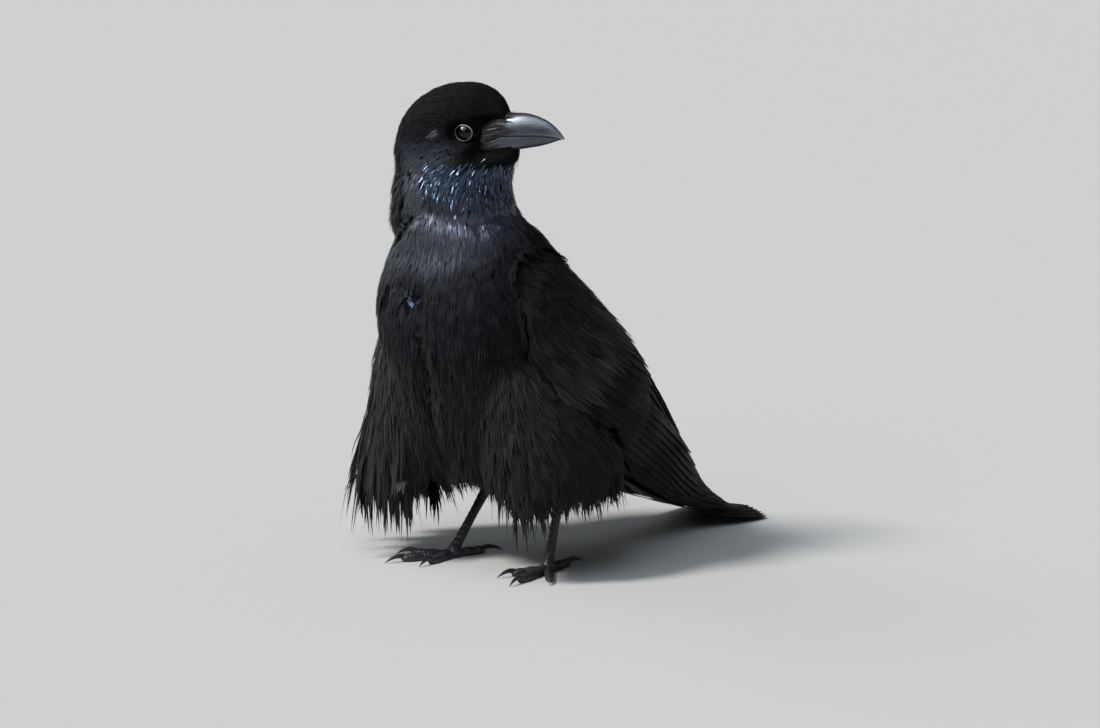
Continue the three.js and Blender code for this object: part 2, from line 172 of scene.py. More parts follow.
def new_piece(name, points, triangles, material, fields, patches=None, shading=None):
    """A mesh object from design points and triangles. fields are numbers for each point, read by
    the materials, patches are each point's place on the unwrap, and shading its normal."""
    mesh = bpy.data.meshes.new(name)
    corners = np.asarray(triangles, np.int32).ravel()
    mesh.vertices.add(len(points))
    mesh.vertices.foreach_set("co", to_row(points).astype(np.float32).ravel())
    mesh.loops.add(len(corners))
    mesh.loops.foreach_set("vertex_index", corners)
    mesh.polygons.add(len(corners) // 3)
    mesh.polygons.foreach_set("loop_start", np.arange(0, len(corners), 3, dtype=np.int32))
    mesh.update(calc_edges=True)
    mesh.validate()
    mesh.shade_smooth()
    if shading is not None:
        free = mesh.attributes.new("custom_normal", "FLOAT_VECTOR", "POINT")
        free.data.foreach_set("vector", np.asarray(shading, np.float32).ravel())
    for field, values in fields.items():
        layer = mesh.attributes.new(field, "FLOAT", "POINT")
        layer.data.foreach_set("value", np.asarray(values, np.float32).ravel())
    if patches is not None:
        unwrap = mesh.uv_layers.new(name="OFBake")
        corner_places = np.clip(patches, 0.001, 0.999)[corners]
        unwrap.data.foreach_set("uv", corner_places.astype(np.float32).ravel())
    mesh.materials.append(material)
    return shown(name, mesh)


def dress(piece, slot, *nodes):
    """The piece rides on the bird and stands for some nodes, which it hides. slot is not used."""
    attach(piece, "root")
    if nodes:
        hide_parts(*nodes)
    return piece


def grid_triangles(rows, columns, closed=False):
    """Triangles over a grid of points, which may close round its columns."""
    across = columns if closed else columns - 1
    r, c = np.meshgrid(np.arange(rows - 1), np.arange(across), indexing="ij")
    a = (r * columns + c).ravel()
    b = (r * columns + (c + 1) % columns).ravel()
    return np.concatenate([np.stack([a, b, b + columns], 1), np.stack([a, b + columns, a + columns], 1)])


def tube(rings):
    """A closed body over rings [rows, sides, 3], with a fan on the first and the last."""
    rows, sides = rings.shape[:2]
    points = np.concatenate([rings.reshape(-1, 3), rings[:1].mean(1), rings[-1:].mean(1)])
    turn = np.arange(sides)
    following = (turn + 1) % sides
    first, last = rows * sides, rows * sides + 1
    foot = np.stack([np.full(sides, first), following, turn], 1)
    top = (rows - 1) * sides
    head = np.stack([np.full(sides, last), top + turn, top + following], 1)
    return points, np.concatenate([grid_triangles(rows, sides, closed=True), foot, head])


def joined(bodies):
    """Several (points, triangles) as one."""
    points, triangles, count = [], [], 0
    for body_points, body_triangles in bodies:
        points.append(body_points)
        triangles.append(body_triangles + count)
        count += len(body_points)
    return np.concatenate(points), np.concatenate(triangles)


# ---- Materials ----
class Nodes:
    """A material's node tree, with short calls to add nodes and link them."""

    def __init__(self, name, **settings):
        self.material = bpy.data.materials.new(name)
        self.material.use_nodes = True
        self.tree = self.material.node_tree
        self.shader = self.tree.nodes["Principled BSDF"]
        for socket, value in settings.items():
            self.shader.inputs[socket.replace("_", " ")].default_value = value

    def add(self, kind, inputs=None, **settings):
        node = self.tree.nodes.new("ShaderNode" + kind)
        for key, value in settings.items():
            setattr(node, key, value)
        for socket, value in (inputs or {}).items():
            if isinstance(value, bpy.types.NodeSocket):
                self.tree.links.new(value, node.inputs[socket])
            else:
                node.inputs[socket].default_value = value
        return node

    def field(self, name):
        return self.add("Attribute", attribute_name=name).outputs["Fac"]

    def place(self):
        return self.add("TexCoord").outputs["Object"]

    def noise(self, scale, detail=3.0, roughness=0.5, vector=None):
        inputs = {"Vector": vector or self.place(), "Scale": scale, "Detail": detail, "Roughness": roughness}
        return self.add("TexNoise", inputs).outputs["Fac"]

    def maths(self, operation, a, b=0.0):
        return self.add("Math", {0: a, 1: b}, operation=operation).outputs[0]

    def remap(self, value, low, high, new_low, new_high):
        inputs = {"Value": value, "From Min": low, "From Max": high, "To Min": new_low, "To Max": new_high}
        return self.add("MapRange", inputs).outputs["Result"]

    def blend(self, factor, a, b):
        """From colour a to colour b. Each is a socket, or red, green and blue."""
        node = self.add("Mix", data_type="RGBA")
        for socket, value in (("Factor", factor), ("A", a), ("B", b)):
            target = next(s for s in node.inputs if s.name == socket and s.enabled)
            if isinstance(value, bpy.types.NodeSocket):
                self.tree.links.new(value, target)
            else:
                target.default_value = rgb(*value)
        return next(s for s in node.outputs if s.enabled)

    def set(self, socket, value):
        self.tree.links.new(value, self.shader.inputs[socket])

    def bump(self, height, distance, strength=1.0):
        inputs = {"Height": height, "Distance": distance, "Strength": strength}
        self.set("Normal", self.add("Bump", inputs).outputs["Normal"])


def rgb(r, g, b):
    return (r, g, b, 1.0)


def feather_material(name, dark, light, rough, tint, pale_tip=None):
    """Soft feathers. "tone" tells one feather from the next, "along" runs from root to tip, and
    "gloss" is 0 where they are matt and 1 where they shine."""
    made = Nodes(name, Specular_IOR_Level=0.8, IOR=1.75)
    gloss = made.field("gloss")
    colour = made.blend(made.field("tone"), dark, light)
    if pale_tip:
        tip = made.remap(made.field("along"), 0.55, 1.0, 0.0, 1.0)
        colour = made.blend(tip, colour, pale_tip)
    made.set("Base Color", colour)
    made.set("Specular Tint", made.blend(gloss, (0.045, 0.045, 0.048), tint))
    uneven = made.remap(made.noise(160, 2), 0.3, 0.7, -0.05, 0.05)
    shine = made.remap(gloss, 0.0, 1.0, rough[1], rough[0])
    made.set("Roughness", made.maths("ADD", shine, uneven))
    return made.material


def vane_material(name, dark, light):
    """Firm wing and tail feathers. "barb" counts the barbs in millimetres, "shaft" is 1 on the
    shaft, "edge" is 1 on the rim."""
    made = Nodes(name, Specular_IOR_Level=0.07, Specular_Tint=rgb(1.0, 0.95, 0.9), Anisotropic=0.35)
    barb, shaft = made.field("barb"), made.field("shaft")
    colour = made.blend(made.field("tone"), dark, light)
    streak = made.remap(made.maths("SINE", made.maths("MULTIPLY", barb, 3.1)), -1.0, 1.0, 0.0, 0.35)
    colour = made.blend(streak, colour, light)
    colour = made.blend(made.remap(made.field("edge"), 0.8, 1.0, 0.0, 0.8), colour, (0.016, 0.013, 0.011))
    colour = made.blend(shaft, colour, (0.02, 0.018, 0.017))
    made.set("Base Color", colour)
    rough = made.remap(made.noise(55, 3), 0.3, 0.7, 0.4, 0.6)
    made.set("Roughness", made.maths("SUBTRACT", rough, made.maths("MULTIPLY", shaft, 0.15)))
    fine = made.maths("SINE", made.maths("MULTIPLY", barb, 9.0))
    made.bump(made.maths("ADD", fine, made.maths("MULTIPLY", shaft, 2.0)), 0.00008, 0.6)
    return made.material


def horn_material(name, dark, light, rough, streaks, specular):
    """Bill or claw. "edge" is 1 where it is paler: worn at the claws' tips, along the bill's mouth line
    and towards its tip, and a painted highlight along the lower bill's keel.
    """
    made = Nodes(name, Specular_IOR_Level=specular, Coat_Weight=0.12, Coat_Roughness=0.2)
    made.shader.inputs["Specular Tint"].default_value = rgb(0.84, 0.9, 1.0)
    stretched = made.add("Mapping", {"Vector": made.place(), "Scale": streaks}).outputs["Vector"]
    grain = made.noise(1.0, 5, 0.6, stretched)
    # Paler with wear on the claws' tips, and with a painted highlight along the lower bill's keel.
    wear_and_highlight = made.remap(made.field("edge"), 0.0, 1.0, 0.0, 0.75)
    colour = made.blend(made.remap(grain, 0.35, 0.7, 0.0, 1.0), dark, light)
    colour = made.blend(wear_and_highlight, colour, (0.16, 0.165, 0.175))
    made.set("Base Color", colour)
    made.set("Roughness", made.remap(grain, 0.3, 0.7, rough[0], rough[1]))
    made.bump(made.maths("ADD", grain, made.maths("MULTIPLY", made.noise(900, 3), 0.25)), 0.00025, 0.5)
    return made.material


def skin_material():
    made = Nodes("bare_skin", Roughness=0.95, Specular_IOR_Level=0.06)
    grain = made.noise(700, 4)
    made.set("Base Color", made.blend(grain, (0.0012, 0.0012, 0.0014), (0.0030, 0.0029, 0.0032)))
    made.bump(grain, 0.0004, 0.6)
    return made.material


def lid_material():
    """The lids' beaded skin. "rim" is 1 on the pale rim about the eye, a painted highlight along the lids'
    edge.
    """
    made = Nodes("lid_skin", Roughness=0.6, Specular_IOR_Level=0.12)
    beads = made.add("TexVoronoi", {"Vector": made.place(), "Scale": 1500.0}).outputs["Distance"]
    rim = made.field("rim")
    colour = made.blend(beads, (0.007, 0.007, 0.008), (0.0025, 0.0025, 0.003))
    # The pale rim is a painted highlight along the lids' edge.
    colour = made.blend(rim, colour, (0.34, 0.33, 0.31))
    made.set("Base Color", colour)
    made.bump(beads, 0.0003, 0.8)
    return made.material


def eye_material():
    """A dark brown iris about a black pupil, under a wet surface. "ring" is the distance from the
    eye's axis as a part of the lids' opening."""
    made = Nodes("eye_ball", Specular_IOR_Level=0.3, Roughness=0.2)
    ring = made.field("ring")
    fibres = made.noise(900, 3)
    iris = made.blend(fibres, (0.0003, 0.0002, 0.0002), (0.0012, 0.0007, 0.0005))
    colour = made.blend(made.remap(ring, 0.5, 0.56, 0.0, 1.0), (0.0002, 0.0002, 0.0002), iris)
    colour = made.blend(made.remap(ring, 0.84, 0.98, 0.0, 1.0), colour, (0.001, 0.001, 0.001))
    made.set("Base Color", colour)
    return made.material


def leg_material():
    """Black scales. "seam" is 1 in the seams between the scutes."""
    made = Nodes("leg_scutes", Specular_IOR_Level=0.5, Coat_Weight=0.15, Coat_Roughness=0.3)
    cells = made.add("TexVoronoi", {"Vector": made.place(), "Scale": 900.0}).outputs["Distance"]
    seam = made.field("seam")
    grain = made.noise(1200, 3)
    colour = made.blend(grain, (0.009, 0.009, 0.010), (0.022, 0.022, 0.024))
    colour = made.blend(made.remap(seam, 0.6, 1.0, 0.0, 0.5), colour, (0.004, 0.004, 0.004))
    made.set("Base Color", colour)
    made.set("Roughness", made.remap(grain, 0.3, 0.7, 0.34, 0.55))
    made.bump(made.maths("ADD", made.maths("MULTIPLY", cells, -1.0), grain), 0.0002, 0.5)
    return made.material


# Name, darkest and lightest feather, roughness where glossy and where matt, the sheen's tint, and
# the colour of the tip where that is paler.
SOFT_FEATHERS = [
    ("head_feather", (0.0016, 0.0016, 0.0019), (0.0046, 0.0046, 0.0055), (0.42, 0.85), (0.72, 0.8, 1.0)),
    ("body_feather", (0.0020, 0.0020, 0.0023), (0.0058, 0.0057, 0.0064), (0.44, 0.78), (0.74, 0.81, 1.0)),
    # This row is paler: painted light over the sunlit right shoulder and flank, and a paler coat on the nape.
    ("dusty_feather", (0.0050, 0.0047, 0.0048), (0.0170, 0.0160, 0.0165), (0.5, 0.8), (0.6, 0.65, 0.75)),
    (
        "belly_feather", (0.0024, 0.0021, 0.0021), (0.0078, 0.0068, 0.0064), (0.55, 0.8), (0.5, 0.5, 0.52),
        (0.0115, 0.0100, 0.0096),
    ),
    ("throat_hackle", (0.0010, 0.0014, 0.0034), (0.0050, 0.0078, 0.0190), (0.27, 0.42), (0.5, 0.7, 1.0)),
    ("bristle", (0.03, 0.03, 0.03), (0.16, 0.155, 0.15), (0.4, 0.6), (0.6, 0.6, 0.6)),
    ("covert_feather", (0.0016, 0.0014, 0.0014), (0.0056, 0.0048, 0.0045), (0.4, 0.62), (0.30, 0.30, 0.33)),
]
VELVET, BODY, PALER, BELLY, HACKLE, BRISTLE, COVERT = (feather_material(*row) for row in SOFT_FEATHERS)
FLIGHT = vane_material("flight_feather", (0.0016, 0.0013, 0.0011), (0.0056, 0.0043, 0.0036))
BILL_HORN = horn_material(
    "bill_horn", (0.008, 0.009, 0.0125), (0.021, 0.024, 0.033), (0.27, 0.4), (220, 220, 900), specular=1.0
)
CLAW_HORN = horn_material(
    "claw_horn", (0.008, 0.008, 0.009), (0.02, 0.02, 0.021), (0.28, 0.42), (500, 500, 500), specular=0.5
)
SKIN = skin_material()
LID = lid_material()
EYE = eye_material()
LEG = leg_material()


# ---- Tables of shape ----
# [ahead, half width, top, mouth line, bottom]
bill_at = smooth([
    [BILL_ROOT, 10.2, 13, -6, -16], [36, 9.8, 14.2, -1.2, -14.6], [46, 8.8, 15, 0, -11.8],
    [57, 7.2, 15, 0.3, -9.4], [66, 5.4, 12.8, 0.5, -7.4], [73, 3.9, 9.6, 0.4, -5.2],
    [79, 2.4, 4.8, -0.2, -2.9], [82, 1.3, 1.5, -0.9, -1.9], [BILL_TIP, 0.5, -0.6, -1.6, -1.7],
])

# From the wrist to the tip of the folded wing, on the left side.
# [t, lower edge x, y, z, upper edge x, y, z, bulge]
wing_at = smooth([
    [0, 61, -40, 222, 44, -18, 242, 3],
    [0.08, 69, -38, 200, 42, 8, 233, 14],
    [0.18, 75, -34, 170, 36, 38, 209, 24],
    [0.3, 82, -14, 138, 24, 71, 181, 29],
    [0.42, 83, 20, 108, 14, 99, 154, 29],
    [0.54, 76, 54, 83, 9, 122, 124, 26],
    [0.66, 63, 88, 64, 6, 145, 96, 20],
    [0.76, 53, 118, 47, 5, 166, 72, 14],
    [0.86, 39, 153, 27, 3, 191, 48, 8],
    [0.94, 31, 190, 15, 3, 209, 31, 4],
    [1, 21, 226, 7, 5, 231, 14, 0.5],
])


def wing_point(side, t, s, depth):
    """Points on the folded wing: t from wrist to tip, s from its lower edge to its upper one, and
    so far out of its surface. Past the upper edge the surface runs in over the back."""
    row = wing_at(t)
    mirror = np.array([side, 1, 1])
    low, chord = row[..., 0:3] * mirror, (row[..., 3:6] - row[..., 0:3]) * mirror
    s, depth = np.asarray(s, float)[..., None], np.asarray(depth, float)[..., None]
    rise = chord * [0, 1, 1]
    reach = np.linalg.norm(rise, axis=-1, keepdims=True)
    out = unit(reach * [side, 0, 0] - side * chord[..., :1] * unit(rise))
    on_wing = np.minimum(s, 1)
    past = np.maximum(s - 1, 0)
    surface = low + chord * on_wing + out * (4 * row[..., 6:7] * on_wing * (1 - on_wing) + depth)
    return surface + past * np.linalg.norm(chord, axis=-1, keepdims=True) * np.array([-side, 0.1, -0.12])


def wing_cover(side):
    """The outer face of the folded wing, to find what it hides."""
    t, s = np.meshgrid(np.linspace(0, 1, 60), np.linspace(0, 1, 24), indexing="ij")
    points = wing_point(side, t.ravel(), s.ravel(), np.zeros(t.size))
    return BVHTree.FromPolygons(points.tolist(), grid_triangles(60, 24).tolist())


WING_COVERS = {side: wing_cover(side) for side in (LEFT, RIGHT)}


def under_wings(points):
    """How far in from the wings' edges some points lie, in millimetres, or 0 outside them. The
    body's feathers reach further over the wing's lower edge, and most over its wrist."""
    inside = np.zeros(len(points))
    run, zeros, ones = np.linspace(0, 1, 80), np.zeros(80), np.ones(80)
    for side in (LEFT, RIGHT):
        rims = []
        for t, s, slack in ((run, zeros, 9.0), (run, ones, 0.0), (zeros, run, 24.0)):
            edge = wing_point(side, t, s, zeros)
            rims.append(np.linalg.norm(points[:, None] - edge[None], axis=2).min(1) - slack)
        rims = np.min(rims, 0)
        for i in np.flatnonzero((points[:, 0] * side > 5) & (points[:, 2] < WING_TOP)):
            gap = WING_COVERS[side].find_nearest(Vector(points[i]))[3]
            outward = Vector((side, -0.1, 0.15)).normalized()
            if gap < 4 or WING_COVERS[side].ray_cast(Vector(points[i]), outward)[0]:
                inside[i] = rims[i]
    return inside


# ---- Skin ----
# The level, and how far back the trunk's axis lies there.
trunk_at = smooth([
    [50, 30], [58, 27], [78, 21], [100, 14], [125, 5], [150, -4], [175, -13], [200, -20], [225, -26],
    [243, -30], [262, -40], [300, -48], [356, -50],
])
FLESH = ["head", "neck", "trunk", "flank_left", "flank_right", "undertail"]
WINGS = ["wing_left", "wing_right"]
# What lies past these planes is left to the feathers: the loose locks below the flanks, and the
# wing behind its arm. Each has a point and the way out.
CUTS = {"flank": ((0, 0, 57.0), (0, 0, -1)), "wing": ((0, -31, 168), (0, 0.47, -0.88))}
VOXEL = 1.7
UNDER_WING_DEPTH = 11.0  # how far the skin draws back from the wings


def flesh_solids():
    """Copies of the flesh solids, and of the arms of the folded wings, as one mesh."""
    whole = bmesh.new()
    for name in FLESH + WINGS:
        part = bmesh.new()
        part.from_mesh(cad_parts[name].data)
        bmesh.ops.remove_doubles(part, verts=part.verts, dist=0.02 * MM)
        if name.split("_")[0] in CUTS:
            point, way = CUTS[name.split("_")[0]]
            everything = part.verts[:] + part.edges[:] + part.faces[:]
            plane = {"plane_co": Vector(to_row(point)), "plane_no": Vector(way)}
            made = bmesh.ops.bisect_plane(part, geom=everything, clear_outer=True, **plane)
            rim = [e for e in made["geom_cut"] if isinstance(e, bmesh.types.BMEdge)]
            bmesh.ops.holes_fill(part, edges=rim)
        kept = bpy.data.meshes.new("flesh_part")
        part.to_mesh(kept)
        whole.from_mesh(kept)
        part.free()
        bpy.data.meshes.remove(kept)
    mesh = bpy.data.meshes.new("flesh")
    whole.to_mesh(mesh)
    whole.free()
    return mesh


def remeshed(mesh):
    """The mesh's points, in the design's millimetres, and quads, after a voxel remesh."""
    holder = shown("remesh", mesh)
    remesh = holder.modifiers.new("voxels", "REMESH")
    remesh.mode = "VOXEL"
    remesh.voxel_size = VOXEL * MM
    made = bpy.data.meshes.new_from_object(holder.evaluated_get(bpy.context.evaluated_depsgraph_get()))
    points = np.empty(len(made.vertices) * 3)
    made.vertices.foreach_get("co", points)
    corners = np.empty(len(made.loops), np.int32)
    made.loops.foreach_get("vertex_index", corners)
    bpy.data.objects.remove(holder)
    bpy.data.meshes.remove(made)
    return (points.reshape(-1, 3) - ORIGIN) / MM, corners.reshape(-1, 4)


def relaxed(points, quads, weight, rounds, back=0.58):
    """Points moved towards the middle of their neighbours, and part of the way back, so that
    facets fade and the body keeps its size."""
    start = np.concatenate([quads[:, i] for i in range(4)])
    end = np.concatenate([quads[:, (i + 1) % 4] for i in range(4)])
    count = np.bincount(start, minlength=len(points))[:, None] + 1e-9
    for step in range(rounds):
        middle = np.stack([np.bincount(start, points[end, i], len(points)) for i in range(3)], 1) / count
        factor = 0.62 if step % 2 == 0 else -back
        points = points + (middle - points) * factor * weight[:, None]
    return points


def crossed_diagonals(points, quads):
    """A vector along each quad's normal, twice as long as the quad is large."""
    return np.cross(points[quads[:, 2]] - points[quads[:, 0]], points[quads[:, 3]] - points[quads[:, 1]])


def point_normals(points, quads):
    diagonals = crossed_diagonals(points, quads)
    normals = np.zeros_like(points)
    for i in range(4):
        for axis in range(3):
            normals[:, axis] += np.bincount(quads[:, i], diagonals[:, axis], len(points))
    return unit(normals)


# Furrows where the coat parts between the masses of the body: how deep and how wide each is, and
# the points that it runs through.
FURROWS = [
    (11.0, 5.0, [(-34, -64, 236), (-24, -76, 244), (-10, -82, 254), (0, -82, 263)]),
    (4.5, 8.0, [(0, -82, 265), (15, -80, 265), (31, -71, 261), (41, -56, 258)]),
    (7.0, 7.0, [(41, -56, 258), (44, -40, 264), (34, -12, 258)]),
    (3.0, 7.0, [(44, -40, 264), (43, -14, 243), (50, -6, 231), (61, -28, 217)]),
    (2.0, 7.0, [(61, -30, 216), (65, -31, 205), (71, -27, 170), (76, -13, 140), (83, 19, 107)]),
    (10.0, 6.0, [(-12, -90, 211), (-3, -90, 208), (10, -90, 207)]),
    (9.0, 9.0, [(2, -92, 206), (10, -90, 184), (10, -80, 153), (-4, -64, 113), (-2, -51, 85)]),
]
WRIST_HOLLOW = np.array([0.0, -86.0, 208.0])  # where the coat parts over the bird's right wrist


def furrow_depth(points):
    """How far the coat sinks in the furrows, in millimetres."""
    total = np.zeros(len(points))
    for deep, wide, route in FURROWS:
        route = np.array(route, float)
        nearest = np.full(len(points), 1e9)
        for a, b in zip(route[:-1], route[1:]):
            along = np.clip((points - a) @ (b - a) / ((b - a) @ (b - a)), 0, 1)
            nearest = np.minimum(nearest, np.linalg.norm(points - a - along[:, None] * (b - a), axis=1))
        total = np.maximum(total, deep * bell(nearest / wide))
    return total


def beside_bill(points, back, front):
    """1 at the height of the bill, ahead of a line between back and front, where it is bare."""
    ahead, _, up = head_frame(points)
    _, top, _, bottom = bill_at(np.clip(ahead, BILL_ROOT, BILL_TIP)).T
    return ramp(ahead, back, front) * ramp(up, bottom - 1.5, bottom + 1.5) * ramp(up, top + 1, top - 2)


def make_room_for_face(points):
    """The face narrows to the bill, and dips a little about each eye."""
    ahead, left, up = head_frame(points)
    half = bill_at(np.clip(ahead, BILL_ROOT, BILL_TIP))[:, 0]
    inside = np.minimum(np.abs(left), half * 0.75)
    from_eye = np.hypot(ahead - EYE_AHEAD, up - EYE_UP)
    out = mix(np.abs(left), inside, beside_bill(points, 17, 28) * ramp(from_eye, 6.5, 11))
    socket = EYE_OUT + 3.9 + 0.3 * (from_eye - 6.2)
    out = np.where(np.abs(left) > 8, mix(np.minimum(out, socket), out, ramp(from_eye, 6.5, 12.0)), out)
    return points + (np.sign(left) * (out - np.abs(left)))[:, None] * ASIDE


def coat_depth(points):
    """How far the skin lies under the outline that the solids give, in millimetres."""
    ahead, level = head_frame(points)[0], points[:, 2]
    depth = 7.5
    for higher, low, high in ((5.0, 120, 200), (3.2, 235, 285), (1.3, 292, 312)):
        depth = mix(depth, higher, ramp(level, low, high))
    depth = mix(depth, 0.3, ramp(ahead, -16, -28) * ramp(level, 240, 256))
    return mix(depth, 0.7, ramp(ahead, 10, 30) * ramp(level, 296, 304))


def clear_of_tail(points):
    """The skin under the tail thins out, so that the tail feathers hide its end."""
    x, y, z = points.T
    lowest = tail_line_at(np.clip(y - TAIL_ROOT, 0, TAIL_LENGTH))[:, 1] - mix(45.0, 0.5, ramp(y, 80, 128))
    return np.stack([x, y, np.where(y > 80, np.maximum(z, lowest), z)], 1)


def make_skin():
    """The skin's points, the points that feathers lie over where they cover the wings, and quads."""
    points, quads = remeshed(flesh_solids())
    in_face = ramp(points[:, 2], 285, 305)
    points = relaxed(points, quads, mix(1.0, 0.35, in_face), 44)
    normals = point_normals(points, quads)
    for _ in range(2):
        normals = unit(relaxed(normals, quads, np.ones(len(points)), 12))
    under_wing = np.zeros(len(points))
    beside = np.flatnonzero((np.abs(points[:, 0]) > 12) & (points[:, 2] < WING_TOP))
    for side in (LEFT, RIGHT):
        gaps = np.array([WING_COVERS[side].find_nearest(p)[3] for p in points[beside].tolist()])
        under_wing[beside] = np.maximum(under_wing[beside], ramp(gaps, 5, 3))
    coat, furrow = coat_depth(points), furrow_depth(points)
    over_wings = points - normals * (coat * (1 - under_wing) + furrow)[:, None]
    depth = mix(coat, UNDER_WING_DEPTH, under_wing) + furrow
    outward = np.sign(points[:, :1]) * [1.0, 0.0, 0.0]
    push = unit(mix(normals, outward, 0.75 * under_wing[:, None]))
    points = points - push * depth[:, None]
    points = relaxed(points, quads, mix(1.0, 0.3, in_face), 10)
    points, over_wings = clear_of_tail(points), clear_of_tail(over_wings)
    points = relaxed(make_room_for_face(points), quads, in_face * 0.4, 4)
    ahead, _, up = head_frame(points)
    chin = ramp(ahead, 12, 26) * ramp(up, -9, -14) * ramp(up, -60, -48)
    points = relaxed(points, quads, chin, 60, back=0.3)
    return points, over_wings, quads


# Of this many points for each root that is wanted, those stay that lie no closer to one another
# than this part of the gap.
TRIED, CLOSEST = 4, 0.83


class Surface:
    """A skin to root feathers on and lay them over."""

    def __init__(self, points, quads):
        self.points, self.quads = points, quads
        self.normals = point_normals(points, quads)
        self.face_normals = unit(self.normals[quads].sum(1))
        self.tree = BVHTree.FromPolygons(points.tolist(), quads.tolist())

    def nearest(self, points):
        """The nearest points of the skin, and its normals there."""
        hits = [self.tree.find_nearest(p) for p in points.tolist()]
        return np.array([h[0] for h in hits]), self.face_normals[[h[2] for h in hits]]

    def scatter(self, spacing, seed):
        """Points spread over the skin, with about spacing (a function of points) between them.
        A spacing of 0 keeps a place bare."""
        rng = np.random.default_rng(seed)
        corners = self.points[self.quads]
        areas = 0.5 * np.linalg.norm(crossed_diagonals(self.points, self.quads), axis=1)
        gaps = spacing(corners.mean(1))
        wanted = np.where(gaps > 0, areas / np.maximum(gaps, 0.1) ** 2, 0)
        count = int(wanted.sum() * TRIED)
        faces = rng.choice(len(areas), count, p=wanted / wanted.sum())
        u, v = rng.random((2, count, 1))
        a, b, c, d = (corners[faces, i] for i in range(4))
        points = mix(mix(a, b, u), mix(d, c, u), v)
        near = KDTree(count)
        for i, p in enumerate(points.tolist()):
            near.insert(p, i)
        near.balance()
        alive = np.ones(count, bool)
        reach = gaps[faces] * CLOSEST
        for i, p in enumerate(points.tolist()):
            if alive[i]:
                for _, j, _ in near.find_range(p, reach[i]):
                    if j > i:
                        alive[j] = False
        return points[alive], self.face_normals[faces[alive]]


def body_unwrap(points):
    """Each point's place on an unwrap of the skin, opened along the back about the trunk's axis."""
    x, y, z = points.T
    middle_x = np.interp(z, [240, 320], [0, HEAD_CENTRE[0]])
    angle = np.arctan2(x - middle_x, -(y - trunk_at(z)[:, 0]))
    under = 0.06 * ramp(z, 60, 40)
    return np.stack([0.5 + angle / (2.04 * math.pi), 0.02 + 0.96 * z / 360 - under], 1)


# ---- The lie of the feathers ----
BILL_BASE = in_head(50, 0, 6)


def body_lie(points, normals):
    """The way that the feathers point: back from the bill over the head, then down the body."""
    ahead, _, up = head_frame(points)
    x, y, z = points.T
    from_bill = unit(points - BILL_BASE) + 0.4 * DOWN
    over_head = (ramp(up, -46, -18) * ramp(ahead, -44, -12))[:, None]
    beside = ramp(np.abs(x), 44, 62) * ramp(z, 236, 205) * ramp(y, -60, -35)
    back = 0.16 + 0.5 * ramp(y, 40, 110) * ramp(z, 170, 90) - 0.12 * ramp(y, -20, -70)
    back += 0.35 * beside * ramp(z, 60, 110)
    back += 3.0 * ramp(y, 60, 95) * ramp(z, 95, 65) * ramp(np.abs(x), 50, 36)
    body = np.stack([0.0008 * x, back, np.full(len(points), -1.0)], 1)
    return along_surface(mix(body, from_bill, over_head), normals)


def lay(surface, roots, normals, lie, length, steps, lift, hang, turn):
    """Middle lines of feathers that lie over a surface: points and normals [feather, step, 3].
    lift is each tip's height over the skin, hang is how far a feather falls straight instead of
    following the skin, and turn is how far it is turned from the lie."""
    hang = hang[:, None]
    step = (length / (steps - 1))[:, None]
    direction = lie(roots, normals)
    direction = unit(direction + np.cross(normals, direction) * np.tan(turn)[:, None])
    line, facing = [roots], [normals]
    ground, normal = roots, normals
    for k in range(1, steps):
        height = (lift * (k / (steps - 1)) ** 0.8)[:, None]
        wanted = ground + direction * step
        found, found_normal = surface.nearest(wanted)
        # Past the hem, where the skin turns under, a feather falls free.
        free = np.maximum(hang, ramp(-found_normal[:, 2:], 0.1, 0.45))
        outside = dot(wanted - found, found_normal)
        keep_out = found + found_normal * np.maximum(outside, 0) * free
        ground = np.where(outside > 0, mix(keep_out, wanted, ramp(free, 0.55, 0.8)), found)
        normal = unit(mix(found_normal, normal, free))
        ahead_lie = lie(ground, found_normal)
        fall = 0.35 * free * ramp(ground[:, 1:2], 85, 60)
        direction = unit(mix(ahead_lie, direction, np.clip(0.45 + free, 0, 1)) + fall * DOWN)
        line.append(ground + normal * height)
        facing.append(normal)
    return np.stack(line, 1), np.stack(facing, 1)


def tangents(line):
    ahead = np.empty_like(line)
    ahead[:, 1:-1] = line[:, 2:] - line[:, :-2]
    ahead[:, 0] = line[:, 1] - line[:, 0]
    ahead[:, -1] = line[:, -1] - line[:, -2]
    return unit(ahead)


